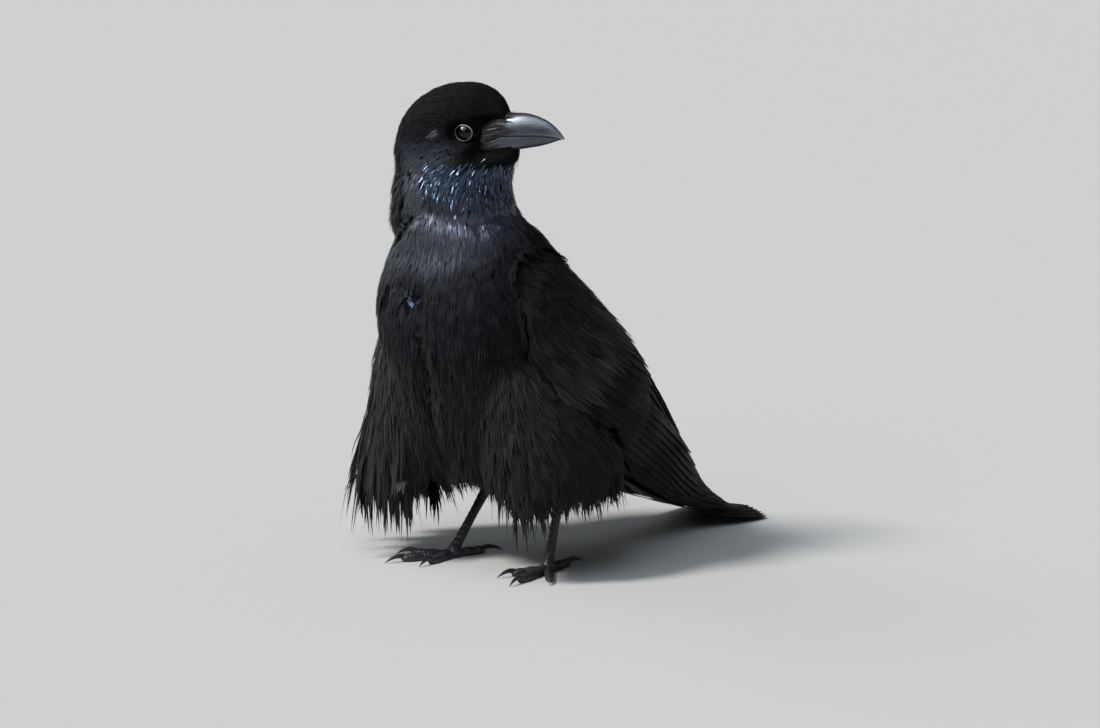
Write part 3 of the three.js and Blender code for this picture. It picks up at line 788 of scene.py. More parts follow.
# ---- Feathers ----
def tufts(
    name, line, facing, width, blades, rng, material, places, ragged=0.25, dome=0.25, slim=1.5, glint=0.15,
    pointed=0.3, loose=0.06, gloss=0.5, crown=0.4,
):
    """Soft feathers as fans of thin closed blades along the middle lines, each with its place on
    the unwrap. The blades part towards the tip, and the outer ones are shorter, so that a feather
    ends in a rounded, ragged rim. Their shading follows the coat's own lie, glint is how far it
    turns from one blade to the next, and crown how rounded a blade looks."""
    count, steps = line.shape[:2]
    width = width[:, None, None]
    ahead = tangents(line)
    across = unit(np.cross(ahead, facing))
    over = np.cross(across, ahead)
    place = np.zeros((count, 1))
    if blades > 1:
        place = np.linspace(-1, 1, blades) + rng.normal(0, 0.3 / blades, (count, blades))
    reach = 1 - pointed * np.abs(place) ** 2 - ragged * rng.random((count, blades))
    # Where each blade's rings fall along the middle line, and the points there.
    t = np.linspace(0, 1, steps)
    at = reach[..., None] * t * (steps - 1)
    low = np.clip(at.astype(int), 0, steps - 2)
    part = (at - low)[..., None]
    which = np.arange(count)[:, None, None]

    def sample(values):
        return mix(values[which, low], values[which, low + 1], part)

    middle, side, out = sample(line), unit(sample(across)), unit(sample(over))
    opening = np.sin(np.minimum(at / (steps - 1) * 1.25, 1) * math.pi / 2) * (1 - 0.25 * t**3)
    offset = 0.5 * width * place[..., None] * opening
    wander = rng.normal(0, loose, (count, blades, 1)) * width * t**1.5
    arch = -dome * 0.5 * width * (place[..., None] ** 2) * opening
    lifted = rng.random((count, blades, 1)) * 0.12 * width * t
    centre = middle + side * (offset + wander)[..., None] + out * (arch + lifted)[..., None]
    half = 0.5 * width / blades * slim * np.sin(math.pi * t**0.75) ** 0.8
    half = half * (0.75 + 0.5 * rng.random((count, blades, 1)))
    thick = np.maximum(half * 0.35, 0.06)
    left = centre - side * half[..., None]
    right = centre + side * half[..., None]
    ridge = centre + out * thick[..., None]
    inner = steps - 2
    per_blade = inner * 3 + 2

    def closed(ends, around):
        """Each blade's values: at its root, about its inner rings, and at its tip."""
        around = around.reshape(count, blades, inner * 3, 3)
        return np.concatenate([ends[:, :, :1], around, ends[:, :, -1:]], 2).reshape(-1, 3)

    points = closed(centre, np.stack([v[:, :, 1:-1] for v in (left, ridge, right)], 3))
    turned = rng.normal(0, glint, (count, blades, 1, 1)) * side
    turned = turned + rng.normal(0, glint, (count, blades, 1, 1)) * sample(ahead)
    normal = unit(0.4 * out + 0.6 * sample(facing) + turned)
    around = [normal[:, :, 1:-1] + crown * lean * side[:, :, 1:-1] for lean in (-1, 0, 1)]
    shading = closed(normal, unit(np.stack(around, 3)))
    # One blade's triangles: a fan from the root, bands between the rings, and a fan to the tip.
    band = []
    for k in range(inner - 1):
        for s in range(3):
            a, b = 1 + 3 * k + s, 1 + 3 * k + (s + 1) % 3
            band += [[a, b, b + 3], [a, b + 3, a + 3]]
    top = 1 + 3 * (inner - 1)
    fans = [[0, 1 + (s + 1) % 3, 1 + s] for s in range(3)]
    fans += [[per_blade - 1, top + s, top + (s + 1) % 3] for s in range(3)]
    pattern = np.array(band + fans)
    total = count * blades
    triangles = (pattern[None] + (np.arange(total) * per_blade)[:, None, None]).reshape(-1, 3)
    tone = np.clip(rng.normal(0.4, 0.2, (count, 1, 1)) + rng.normal(0, 0.15, (count, blades, 1)), 0, 1)
    tone = np.broadcast_to(tone, (count, blades, per_blade))
    along = np.concatenate([[0], np.repeat(t[1:-1], 3), [1]])
    sideways = np.concatenate([[0], np.tile([-1.0, 0.1, 1.0], inner), [0]])
    fields = {"tone": tone, "along": np.broadcast_to(along, (total, per_blade))}
    fields["gloss"] = np.repeat(np.broadcast_to(gloss, count), blades * per_blade)
    patch = 0.0015  # half the size of a blade on the unwrap
    spots = np.repeat(places, blades, 0)[:, None]
    shape = np.stack([sideways * patch, (along - 0.5) * 2 * patch], 1)[None]
    return new_piece(name, points, triangles, material, fields, (spots + shape).reshape(-1, 2), shading)


def uneven(rng, count, spread=0.15):
    """Factors about 1, one for each of count feathers."""
    return 1 + spread * rng.normal(0, 1, count).clip(-2, 2)


# ---- Wings and tail ----
def wing_lines(side, start, end, depth, steps):
    """Middle lines on the wing from start (t, s) to end (t, s), each [feather, 2], and the way out
    of the wing along them."""
    u = np.linspace(0, 1, steps)[None]
    t = mix(start[:, :1], end[:, :1], u)
    s = mix(start[:, 1:], end[:, 1:], u)
    depth = mix(depth[0][:, None], depth[1][:, None], u)
    line = wing_point(side, t, s, depth)
    nudge = 0.01
    along_t = wing_point(side, np.minimum(t + nudge, 1), s, depth) - wing_point(side, t - nudge, s, depth)
    along_s = wing_point(side, t, s + nudge, depth) - wing_point(side, t, s - nudge, depth)
    facing = unit(np.cross(along_s, along_t)) * -side
    return line, facing


def vanes(name, line, facing, hand, webs, seed, taper=0.62, tilt=0.0, camber=0.1):
    """Firm feathers as closed vanes with a shaft. hand tells which way the outer web lies, webs are
    the outer and inner widths, and tilt lifts the outer web over the next feather."""
    rng = np.random.default_rng(seed)
    count, steps = line.shape[:2]
    rings = 30
    u = 1 - (1 - np.linspace(0, 1, rings)) ** 1.5
    at = u * (steps - 1)
    low = np.clip(at.astype(int), 0, steps - 2)
    part = (at - low)[:, None]
    middle = mix(line[:, low], line[:, low + 1], part)
    ahead = tangents(middle)
    over = unit(mix(facing[:, low], facing[:, low + 1], part))
    across = unit(np.cross(ahead, over)) * np.asarray(hand, float).reshape(-1, 1, 1)
    over = unit(over - ahead * dot(over, ahead))
    length = np.linalg.norm(np.diff(line, axis=1), axis=-1).sum(1)[:, None]
    # The outline widens from the quill and rounds to the tip.
    quill = np.clip(u / 0.1, 0, 1) ** 0.6
    rounding = (1 - np.clip((u - taper) / (1 - taper), 0, 1) ** 2.4) ** 0.6
    outline = quill * rounding + 0.002
    shaft = 0.75 * (1 - 0.75 * u)
    columns = [-1, -0.86, -0.55, -0.22, "left", "top", "right", 0.22, 0.55, 0.86, 1]
    places, heights, on_shaft, on_edge = [], [], [], []
    splits = 1 - 0.16 * (rng.random((2, count, rings)) < 0.12) * rng.random((2, count, rings))
    for column in columns:
        if isinstance(column, str):
            offset = {"left": -1.0, "top": 0.0, "right": 1.0}[column] * shaft * 0.8
            place = np.broadcast_to(offset, (count, rings))
            height = np.broadcast_to(shaft * (0.9 if column == "top" else 0.15), (count, rings))
            c = 0.0
        else:
            web = webs[:, 1:] if column < 0 else webs[:, :1]
            c = column
            loose = splits[0 if column < 0 else 1] if abs(column) > 0.9 else 1.0
            place = column * web * outline[None] * loose
            height = -camber * web * c * c * outline[None] + 0.02 * rng.normal(0, 1, (count, rings))
        places.append(place)
        heights.append(height + tilt * place)
        on_shaft.append(1.0 if isinstance(column, str) else 0.0)
        on_edge.append(abs(c) ** 3)
    places, heights = np.stack(places, 2), np.stack(heights, 2)
    thin = (0.34 - 0.2 * np.abs(np.array(on_edge)))[None, None] * (1 - 0.6 * u)[None, :, None]
    top = middle[:, :, None] + across[:, :, None] * places[..., None] + over[:, :, None] * heights[..., None]
    under = top - over[:, :, None] * thin[..., None]
    section = np.concatenate([top, under[:, :, ::-1]], 2)
    barb = u[None, :, None] * length[:, :, None] - 1.3 * np.abs(places)
    tone = np.broadcast_to(rng.random(count)[:, None, None], barb.shape)
    shaft, edge = (np.broadcast_to(np.array(on), barb.shape) for on in (on_shaft, on_edge))
    fields = {"barb": barb, "tone": tone, "shaft": shaft, "edge": edge}
    # Each vane has its own strip of the unwrap.
    strip = (np.arange(count)[:, None, None] + 0.5 + 0.4 * places / webs.max()) / count
    run = np.broadcast_to(u[None, :, None] * 0.9 + 0.05, barb.shape)
    points, triangles = joined([tube(body) for body in section])

    def for_points(values, under_side=0.0):
        values = np.concatenate([values, values[:, :, ::-1] + under_side], 2).reshape(count, -1)
        return np.concatenate([values, values[:, :1], values[:, -1:]], 1).ravel()

    unwrap = np.stack([for_points(strip, 0.012 / count), for_points(run)], 1)
    made = {key: for_points(values) for key, values in fields.items()}
    return new_piece(name, points, triangles, FLIGHT, made, unwrap)


# The groups of a wing's firm feathers, from the deepest to the one that lies over the rest. Each
# group has a count, and then for its lowest and deepest feather and for its highest: the start
# t and s, the end t and s, the depth at start and end, and the outer and inner web. The end t of
# a primary is worked out below instead.
WING_GROUPS = {
    "primaries": (10, (0.42, -0.02, 0, 0.0, -8.0, -6.0, 6, 11), (0.42, 0.33, 0, 0.62, -5.5, -1.0, 8, 15)),
    "secondaries": (8, (0.3, 0.3, 0.76, 0.34, -6.5, -4.5, 9, 15), (0.3, 0.82, 0.72, 0.9, -5.0, -0.8, 10, 17)),
    "tertials": (4, (0.26, 0.8, 0.7, 0.92, -5.0, -1.6, 12, 16), (0.2, 1.02, 0.6, 1.2, -4.0, 0.8, 14, 18)),
    "hand coverts": (
        9, (0.26, 0.03, 0.54, 0.07, -6.0, -3.6, 6, 9), (0.27, 0.3, 0.5, 0.36, -5.0, -2.4, 7, 11),
    ),
    "alula": (3, (0.17, 0.01, 0.36, 0.03, -4.0, -1.8, 6, 8), (0.16, 0.09, 0.31, 0.12, -3.5, -1.2, 6, 8)),
    "arm coverts": (
        11, (0.2, 0.22, 0.48, 0.28, -5.0, -2.2, 9, 12), (0.18, 0.98, 0.44, 1.06, -4.0, -0.4, 10, 13),
    ),
}
LONGEST_PRIMARY = 6  # its place in the row, counted from the highest


def flight_feathers(side):
    """The primaries, secondaries and tertials, with the firm coverts over their roots."""
    groups = []
    for group, (count, lowest, highest) in WING_GROUPS.items():
        u = np.linspace(0, 1, count)
        rows = np.stack([mix(a, b, u) for a, b in zip(lowest, highest)], 1)
        if group == "primaries":
            past = np.arange(count)[::-1] - LONGEST_PRIMARY
            rows[:, 2] = 1.0 - np.where(past < 0, 0.036 * -past, 0.03 * np.maximum(past, 0) ** 1.4)
        line, facing = wing_lines(side, rows[:, 0:2], rows[:, 2:4], (rows[:, 4], rows[:, 5]), 12)
        groups.append((line, facing, rows[:, 6:8]))
    line, facing, webs = (np.concatenate(parts) for parts in zip(*groups))
    hand = np.full(len(line), side)
    return vanes("wing_feathers_" + SIDE_NAMES[side], line, facing, hand, webs, seed=20 + side, tilt=0.12)


def covert_tufts(side):
    """The small coverts, in rows over the arm."""
    rng = np.random.default_rng(40 + side)
    starts, ends, sizes = [], [], []
    rows = 11
    for r in range(rows):
        t, reach, size = (mix(a, b, r / (rows - 1)) for a, b in ((-0.01, 0.25), (0.075, 0.125), (10.5, 16.0)))
        count = 13 + r // 3
        s = (np.arange(count) + 0.5 * (r % 2)) / count * 0.98 + 0.02
        starts.append(np.stack([t + rng.normal(0, 0.005, count), s + rng.normal(0, 0.008, count)], 1))
        ends.append(starts[-1] + [reach, 0.01] + rng.normal(0, 0.008, (count, 2)))
        sizes.append(np.full(count, size))
    start, end, size = np.concatenate(starts), np.concatenate(ends), np.concatenate(sizes)
    count = len(start)
    at_wrist = ramp(start[:, 0], 0.08, 0.0)
    depth = (-3.0 - 2.5 * at_wrist, 0.3 + 0.6 * rng.random(count) - 1.5 * at_wrist)
    line, facing = wing_lines(side, start, end, depth, 6)
    places = 0.02 + 0.96 * np.stack([start[:, 0] + 0.05, start[:, 1]], 1)
    gloss = rng.uniform(0.05, 0.7, count) * (1 - 0.9 * at_wrist)
    shape = {"ragged": 0.06, "dome": 0.22, "slim": 1.7, "gloss": gloss}
    return tufts("coverts_" + SIDE_NAMES[side], line, facing, size, 11, rng, COVERT, places, **shape)


# How far along the tail, how far behind the origin, and how high.
tail_line_at = smooth([
    [0, TAIL_ROOT, 78], [30, 96, 55], [60, 126, 37], [90, 156, 24], [120, 186, 14.2], [150, 216, 6.5],
    [TAIL_LENGTH, 246, 1.2],
])


def tail_feathers():
    """Twelve feathers, the middle pair on top. They come down to rest their tips on the ground."""
    pairs = 6
    order = np.tile(np.arange(pairs)[::-1], 2)
    side = np.repeat([LEFT, RIGHT], pairs)
    place = side * (0.07 + 0.163 * order)
    distance = np.linspace(0, 1, 16)[None] * (TAIL_LENGTH - 13 * place**2)[:, None]
    row = tail_line_at(distance)
    half = 17 + 20 * np.sin(distance / TAIL_LENGTH * math.pi / 2.3)
    droop = 3.5 * place[:, None] ** 2 * ramp(TAIL_LENGTH - distance, 0, 70)
    stack = 0.42 * (pairs - 1 - order)[:, None] + 0.2 * (side[:, None] == LEFT)
    z = row[..., 1] - droop + stack - 1.0
    line = np.stack([place[:, None] * half, row[..., 0], np.maximum(z, 0.6 + stack)], 2)
    facing = np.broadcast_to(unit(np.array([0, 0.25, 1.0])), line.shape)
    outer = mix(11.0, 4.5, order / (pairs - 1))
    webs = np.stack([outer, np.full(len(order), 16.0)], 1)
    # Seen along the feather from above, across points to the bird's right.
    return vanes("tail_feathers", line, facing, side, webs, seed=31, taper=0.8, camber=0.04)


# ---- Bill ----
def bill_half(name, ahead, outer, inner, wear_and_highlight, tip_paleness=0.0, last=0.5):
    """One half of the bill, from the left and up of its outer face and its inner one, then how pale
    its outer face is (on the lower bill a painted highlight along the keel), how much paler both faces
    are, and last, how pale the very tip is."""
    left, up = (np.concatenate(pair, 1) for pair in zip(outer, inner))
    points, triangles = tube(in_head(ahead[:, None], left, up))
    edge = np.concatenate([wear_and_highlight, np.zeros_like(inner[1])], 1)
    edge = np.append(np.clip(edge + tip_paleness, 0, 1).ravel(), [0, last])
    piece = new_piece(name + "_horn", points, triangles, BILL_HORN, {"edge": edge})
    return dress(piece, "bill", name)


def bill_rows(tip, rows):
    """How far ahead a half's rings lie, and half the width, top, mouth line and bottom there."""
    ahead = tip - (tip - BILL_ROOT + BILL_TUCK) * np.linspace(1, 0, rows) ** 1.25
    return ahead, (v[:, None] for v in bill_at(np.maximum(ahead, BILL_ROOT)).T)


def bill_upper():
    """The upper half, with a ridge above and a shallow roof over the mouth."""
    ahead, (half, top, mouth, _) = bill_rows(BILL_TIP, 70)
    angle = np.linspace(0, math.pi, 33)[None]
    high = np.maximum(top - mouth, 0.5)
    ridge = np.sin(angle)
    outer_up = mouth - 0.35 + (high + 0.35) * ridge**0.92
    roof = np.linspace(math.pi, 0, 17)[None, 1:-1]
    outer = half * np.cos(angle) * (1 - 0.2 * ridge**3), outer_up
    inner = half * np.cos(roof) * 0.9, mouth + 0.25 + np.minimum(1.2, 0.4 * high) * np.sin(roof)
    # The outer face is paler along the mouth line, and both faces towards the tip.
    wear_and_highlight = bell((outer_up - mouth) / 0.9) * 0.6
    return bill_half("bill_upper", ahead, outer, inner, wear_and_highlight, ramp(ahead, 70, 84)[:, None] * 0.5)


def bill_lower():
    """The lower half, with a keel below. It lies inside the upper half's edges."""
    ahead, (half, _, mouth, bottom) = bill_rows(LOWER_BILL_TIP, 60)
    half = np.maximum(half - 0.8, 0.25)
    deep = np.maximum(mouth - bottom, 0.5) - 0.3
    angle = np.linspace(0, math.pi, 29)[None]
    keel = np.sin(angle)
    floor = np.linspace(math.pi, 0, 15)[None, 1:-1]
    outer = half * np.cos(angle) * (1 - 0.1 * keel**4), mouth - 0.3 - deep * keel**0.75
    inner = half * np.cos(floor) * 0.86, mouth - 0.5 - np.minimum(0.8, 0.3 * deep) * np.sin(floor)
    # A painted highlight: a pale line along the keel, from the root forward.
    wear_and_highlight = bell((keel - 0.62) / 0.12) * ramp(ahead, 66, 44)[:, None]
    return bill_half("bill_lower", ahead, outer, inner, wear_and_highlight, last=0.3)


# ---- Eyes ----
def by_eye(side, ahead, out, up):
    """Points that far ahead of, out from and above an eye's middle."""
    return in_head(EYE_AHEAD + ahead, side * (EYE_OUT + out), EYE_UP + up)


def eyeball(side):
    angle = np.linspace(0.02, 1.25, 26)[:, None]
    turn = np.linspace(0, 2 * math.pi, 49)[None, :-1]
    radius = EYE_RADIUS + 0.3 * bell(angle / 0.5)
    ahead, up = radius * np.sin(angle) * np.cos(turn), radius * np.sin(angle) * np.sin(turn)
    rings = by_eye(side, ahead, radius * np.cos(angle), up)
    points, triangles = tube(rings if side == LEFT else rings[:, ::-1])
    ring = np.hypot(ahead, up) / LID_RADIUS
    ring = np.append(ring.ravel(), [0, ring.max()])
    name = SIDE_NAMES[side]
    return dress(new_piece("eyeball_" + name, points, triangles, EYE, {"ring": ring}), "eye", "eye_" + name)


def lids(side, surface):
    """A raised ring of fine skin about the eye, from its rim out to under the face's feathers."""
    turn = np.linspace(0, 2 * math.pi, 73)[:-1]
    rows = 16
    away = np.linspace(0, 1, rows)[:, None] ** 1.4  # from the rim to the outside
    open_radius = LID_LONG * LID_TALL / np.hypot(LID_TALL * np.cos(turn), LID_LONG * np.sin(turn))
    radius = mix(open_radius[None], LID_REACH, away)
    ahead, up = radius * np.cos(turn), radius * np.sin(turn)
    ball = EYE_RADIUS + 0.25
    on_ball = np.sqrt(np.maximum(ball**2 - radius**2, 0.0))
    over = by_eye(side, ahead, 60.0 - EYE_OUT, up)
    skin_out = np.empty(ahead.shape)
    for i in np.ndindex(ahead.shape):
        hit = surface.tree.ray_cast(Vector(over[i]), Vector(-side * ASIDE))[0]
        skin_out[i] = abs((np.array(hit) - HEAD_CENTRE) @ ASIDE) - EYE_OUT if hit else 0.0
    settle = ramp(away, 0.05, 0.75)
    roll = 0.55 * bell((away - 0.06) / 0.09)
    folds = 0.12 * np.sin(away * 26) * ramp(away, 0.1, 0.2) * ramp(away, 0.8, 0.5)
    out = mix(on_ball, skin_out + 0.25 - 1.0 * ramp(away, 0.8, 1.0), settle) + roll + folds
    turned_in = by_eye(side, ahead[:1] * 0.97, on_ball[:1] - 1.6, up[:1] * 0.97)
    rings = np.concatenate([turned_in, by_eye(side, ahead, out, up)])
    triangles = grid_triangles(rows + 1, len(turn), closed=True)
    if side == RIGHT:
        triangles = triangles[:, ::-1]
    # The pale rim just off the opening is a painted highlight along the lids' edge.
    rim = bell((away - 0.06) / 0.075) * np.ones_like(turn)
    rim = np.concatenate([rim[:1] * 0.2, rim])
    return rings.reshape(-1, 3), triangles, rim.ravel()


# ---- Legs ----
LEGS = [
    {"name": "left", "side": LEFT, "pad": (46, 4), "ankle": (46, 18, 64), "toward": 16},
    {"name": "right", "side": RIGHT, "pad": (-34, -14), "ankle": (-36, 26, 52), "toward": 20},
]
TOES = [
    {"name": "middle", "turn": 0, "length": 40, "radius": 3.4, "claw": 13},
    {"name": "inner", "turn": -31, "length": 29, "radius": 3.2, "claw": 12},
    {"name": "outer", "turn": 33, "length": 31, "radius": 3.0, "claw": 10.5},
    {"name": "hind", "turn": 174, "length": 25, "radius": 3.4, "claw": 16},
]
CLAW_ROOT = 3.0


def limb(centres, radii, sides, scute, top, belly=1.0, squeeze=1.0, depth=0.34):
    """A scaled limb over a line of centres. Scutes overlap down its top side, and scute is how
    many there are along it. Returns points, triangles and how deep each point is in a seam."""
    rows = len(centres)
    ahead = tangents(centres[None])[0]
    top = unit(top - ahead * (ahead @ top)[:, None])
    across = np.cross(ahead, top)
    turn = np.linspace(0, 2 * math.pi, sides + 1)[:-1]
    t = np.linspace(0, 1, rows)[:, None]
    upward, sideways = np.cos(turn)[None], np.sin(turn)[None]
    on_top = ramp(upward, -0.1, 0.35)
    phase = (t * scute + 0.12 * np.abs(sideways)) % 1.0
    step = phase**1.6 - 1.2 * bell((phase - 0.02) / 0.06)
    beads = 0.12 * np.sin(t * scute * 13) * np.sin(turn * 7)[None] * (1 - on_top)
    relief = depth * step * on_top + beads
    radius = radii[:, None] * np.where(upward < 0, mix(1.0, belly, -upward), 1.0)
    radius = radius + relief * radii[:, None] / 3.5
    spoke = upward[..., None] * top[:, None] + squeeze * sideways[..., None] * across[:, None]
    rings = centres[:, None] + radius[..., None] * spoke
    rings[..., 2] = np.maximum(rings[..., 2], 0.0)
    points, triangles = tube(rings)
    seam = bell((phase - 0.02) / 0.07) * on_top
    return points, triangles, np.append(seam.ravel(), [0, 0])


def on_toe(leg, toe, reach, height):
    """Points along a toe, so far from the foot's pad and so high."""
    angle = math.radians(leg["toward"] + toe["turn"])
    reach = np.asarray(reach, float)
    x = leg["pad"][0] + leg["side"] * math.sin(angle) * reach
    y = leg["pad"][1] - math.cos(angle) * reach
    return np.stack([x, y, np.broadcast_to(height, reach.shape)], 1)


def foot(leg):
    """The tarsus, the ball of the foot and the toes."""
    bodies = []
    t = np.linspace(0, 1, 110)
    ankle, pad = np.array(leg["ankle"], float), np.array([*leg["pad"], PAD_HEIGHT - 1.0])
    shank = mix(ankle, pad, t[:, None])
    girth = smooth([[0, 4.9], [0.12, 4.3], [0.3, 3.6], [0.7, 3.5], [0.9, 4.0], [1, 4.8]])(t)[:, 0]
    bodies.append(limb(shank, girth, 26, 13, np.array([0, -1.0, 0.3]), squeeze=0.86))
    ball = np.linspace(-0.97, 0.97, 24)
    ball_centres = np.stack([np.full(24, leg["pad"][0]), leg["pad"][1] + ball * -5.4, np.full(24, 4.0)], 1)
    bodies.append(limb(ball_centres, 5.5 * np.sqrt(1 - ball**2), 26, 3, UP, squeeze=1.02, depth=0.2))
    for toe in TOES:
        u = np.linspace(0, 1, 80)
        r = toe["radius"]
        pads = smooth([[0, 1.15], [0.15, 1.1], [0.3, 0.96], [0.5, 1.1], [0.66, 0.92], [0.8, 1.02], [1, 0.62]])
        swell = pads(u)[:, 0]
        centres = on_toe(leg, toe, u * toe["length"], r - SOLE)
        scutes = round(toe["length"] / 2.7)
        end = np.sqrt(np.clip((1 - u) / 0.06, 0, 1)) * 0.6 + 0.4
        bodies.append(limb(centres, r * swell * end, 22, scutes, UP, belly=1.06, squeeze=0.95))
    points, triangles = joined([body[:2] for body in bodies])
    seam = np.concatenate([body[2] for body in bodies])
    nodes = ["tarsus_" + leg["name"]] + ["toe_%s_%s" % (toe["name"], leg["name"]) for toe in TOES]
    return dress(new_piece("foot_" + leg["name"], points, triangles, LEG, {"seam": seam}), "leg_skin", *nodes)


def claws(leg):
    bodies, wear_and_highlight = [], []
    for toe in TOES:
        u = np.linspace(0, 1, 26)
        start = toe["length"] - CLAW_ROOT - 1
        height = smooth([[0, 2.9], [0.33, 4.5], [0.66, 3.5], [1, 0.7]])(u)[:, 0]
        centres = on_toe(leg, toe, start + u * (toe["claw"] + CLAW_ROOT + 1), height)
        girth = smooth([[0, 2.3], [0.3, 1.9], [0.66, 1.25], [1, 0.25]])(u)[:, 0]
        points, triangles, _ = limb(centres, girth, 16, 1, UP, belly=0.9, squeeze=0.72, depth=0.0)
        bodies.append((points, triangles))
        # The claws are worn paler towards their tips.
        wear_and_highlight.append(np.append(np.repeat(ramp(u, 0.75, 1.0) * 0.4, 16), [0, 0.4]))
    points, triangles = joined(bodies)
    nodes = ["claw_%s_%s" % (toe["name"], leg["name"]) for toe in TOES]
    piece = new_piece("claws_" + leg["name"], points, triangles, CLAW_HORN, {"edge": np.concatenate(wear_and_highlight)})
    return dress(piece, "claw", *nodes)


# ---- Floor, light and camera ----
def way_to(azimuth, elevation):
    """The way to a place in the sky. Azimuth 0 is before the bird, and 90 on its left."""
    a, e = math.radians(azimuth), math.radians(elevation)
    return math.sin(a) * math.cos(e), -math.cos(a) * math.cos(e), math.sin(e)


def stage_and_light():
    mesh = bpy.data.meshes.new("floor")
    reach = 30  # metres to each side
    corners = [(-reach, -reach, 0), (reach, -reach, 0), (reach, reach, 0), (-reach, reach, 0)]
    mesh.from_pydata(corners, [], [(0, 1, 2, 3)])
    pale = Nodes("pale_floor", Roughness=0.9, Specular_IOR_Level=0.2)
    pale.shader.inputs["Base Color"].default_value = rgb(0.34, 0.335, 0.32)
    mesh.materials.append(pale.material)
    shown("floor", mesh)

    world = bpy.data.worlds.new("studio")
    world.use_nodes = True
    sky = world.node_tree.nodes["Background"]
    sky.inputs["Color"].default_value = rgb(0.86, 0.92, 1.0)
    sky.inputs["Strength"].default_value = 0.14
    bpy.context.scene.world = world
    bpy.context.scene.view_settings.view_transform = "Standard"

    def soft_sun(name, azimuth, elevation, spread, strength, colour):
        light = bpy.data.lights.new(name, "SUN")
        light.angle = math.radians(spread)
        light.energy = strength
        light.color = colour
        lamp = shown(name, light)
        way = Vector(way_to(azimuth, elevation))
        lamp.location = way * 3
        lamp.rotation_euler = way.to_track_quat("Z", "Y").to_euler()

    soft_sun("key", -16, 50, 12, 4.6, (1.0, 0.99, 0.97))
    soft_sun("sky", 20, 52, 50, 2.2, (0.78, 0.87, 1.0))
    soft_sun("rim", 285, 34, 40, 1.0, (0.85, 0.92, 1.0))


def make_camera():
    toward = np.array(way_to(CAMERA_AZIMUTH, CAMERA_ELEVATION))
    right = np.array([math.cos(math.radians(CAMERA_AZIMUTH)), math.sin(math.radians(CAMERA_AZIMUTH)), 0.0])
    upward = np.cross(toward, right)
    place = to_row(right * AIM_RIGHT + upward * AIM_UP + toward * CAMERA_DISTANCE)
    camera = bpy.data.cameras.new("camera")
    camera.lens = CAMERA_LENS
    camera.sensor_width = SENSOR
    camera.clip_end = 100
    holder = shown("camera", camera)
    axes = [[right[i], upward[i], toward[i], place[i]] for i in range(3)]
    holder.matrix_world = Matrix(axes + [[0, 0, 0, 1]])
    bpy.context.scene.camera = holder


# ---- The coat ----
def eye_gap(points):
    """Distance from the nearer eye's middle line, in millimetres."""
    ahead, left, up = head_frame(points)
    return np.where(np.abs(left) > 8, np.hypot(ahead - EYE_AHEAD, up - EYE_UP), 99.0)


def face_size(points):
    """1 over the back of the head, falling to 0 beside the bill and the eyes."""
    return ramp(head_frame(points)[0], 34, -4) * mix(0.4, 1.0, ramp(eye_gap(points), 7, 18))


def on_head(points):
    return ramp(points[:, 2], 286, 296)


def on_throat(points):
    """1 over the throat and the sides of the neck, where the feathers are narrow and glossy."""
    ahead, _, up = head_frame(points)
    return ramp(ahead, -16, -6) * ramp(up, -52, -46) * ramp(up, -14, -24)


def on_nape(points):
    """1 down the back of the neck, where the feathers stand a little off."""
    ahead, _, up = head_frame(points)
    return ramp(ahead, -20, -32) * ramp(up, 6, -14) * ramp(up, -84, -60)


def neck_gloss(points):
    """Matt over the crown and the face, glossier over the cheeks and down the neck."""
    ahead, _, up = head_frame(points)
    off_face = mix(ramp(ahead, 22, 0), 1.0, ramp(up, -24, -40))
    behind_eye = np.exp(-((ahead + 1) ** 2 + (up - 2.5) ** 2) / 5.0)
    dull = mix(1.0, 0.15, on_nape(points)) * mix(1.0, 0.45, on_throat(points))
    return np.maximum(ramp(up, 4, -26) * off_face * dull, behind_eye)


def in_crease(points):
    """1 in the creases where a mass of feathers ends over another."""
    return ramp(furrow_depth(points), 5.0, 8.0)


def on_back(points):
    """1 over the mantle and the back, between the wings."""
    x, y, z = points.T
    middle = trunk_at(z)[:, 0]
    off_flank = mix(1.0, ramp(np.abs(x), 46, 36), ramp(z, 130, 110))
    return ramp(y, middle + 4, middle + 20) * ramp(z, 262, 250) * off_flank


def in_skirt(points):
    """1 over the loose feathers low on the bird's right flank."""
    x, y, z = points.T
    return ramp(x, -30, -46) * ramp(z, 150, 110) * ramp(y, 30, 0)


def by_wrist(points):
    """1 about the wrists, where the feathers turn every way and stay matt."""
    x, y, z = points.T
    return bell((np.abs(x) - 50) / 16, (y + 28) / 18, (z - 232) / 18)


def hem_level(points):
    """The level that the lowest tips hang to: high between the legs, low on the bird's right and
    about its left leg."""
    x, y, _ = points.T
    between = bell((x - 12) / 22, (y + 45) / 38)
    by_leg = bell((x - 60) / 16, (y + 26) / 24)
    right = ramp(x, -26, -42) * ramp(y, 10, -20)
    return 42 + 20 * between - 31 * by_leg - 28 * right


def bare(points):
    """Where no feather is rooted: in the eyes, inside the bill and under the wings."""
    ahead, left, up = head_frame(points)
    half, top, _, bottom = bill_at(np.clip(ahead, BILL_ROOT, BILL_TIP)).T
    in_bill = (ahead > BILL_ROOT - 2) & (np.abs(left) < half - 0.2) & (up > bottom + 0.5) & (up < top - 1)
    eye = (eye_gap(points) < EYE_BARE) & (points[:, 2] > HEAD_CENTRE[2] - 20)
    return eye | in_bill | (under_wings(points) > 6)


def each(value, points):
    """A number, or a function of points, as one number for each of the points."""
    return np.broadcast_to(value(points) if callable(value) else value, len(points))


def by_level(low_value, high_value, low, high):
    return lambda points: mix(low_value, high_value, ramp(points[:, 2], low, high))


def by_face(least, most):
    return lambda points: mix(least, most, face_size(points))


def clumped(points):
    """Longer and shorter by clumps, more so towards the hem."""
    x, y, z = points.T
    waves = np.sin(x * 0.31 + 1.0) * np.sin(y * 0.27 + 2.0) + np.sin(x * 0.13 - 0.5)
    return 1 + 0.2 * waves * ramp(z, 120, 60)


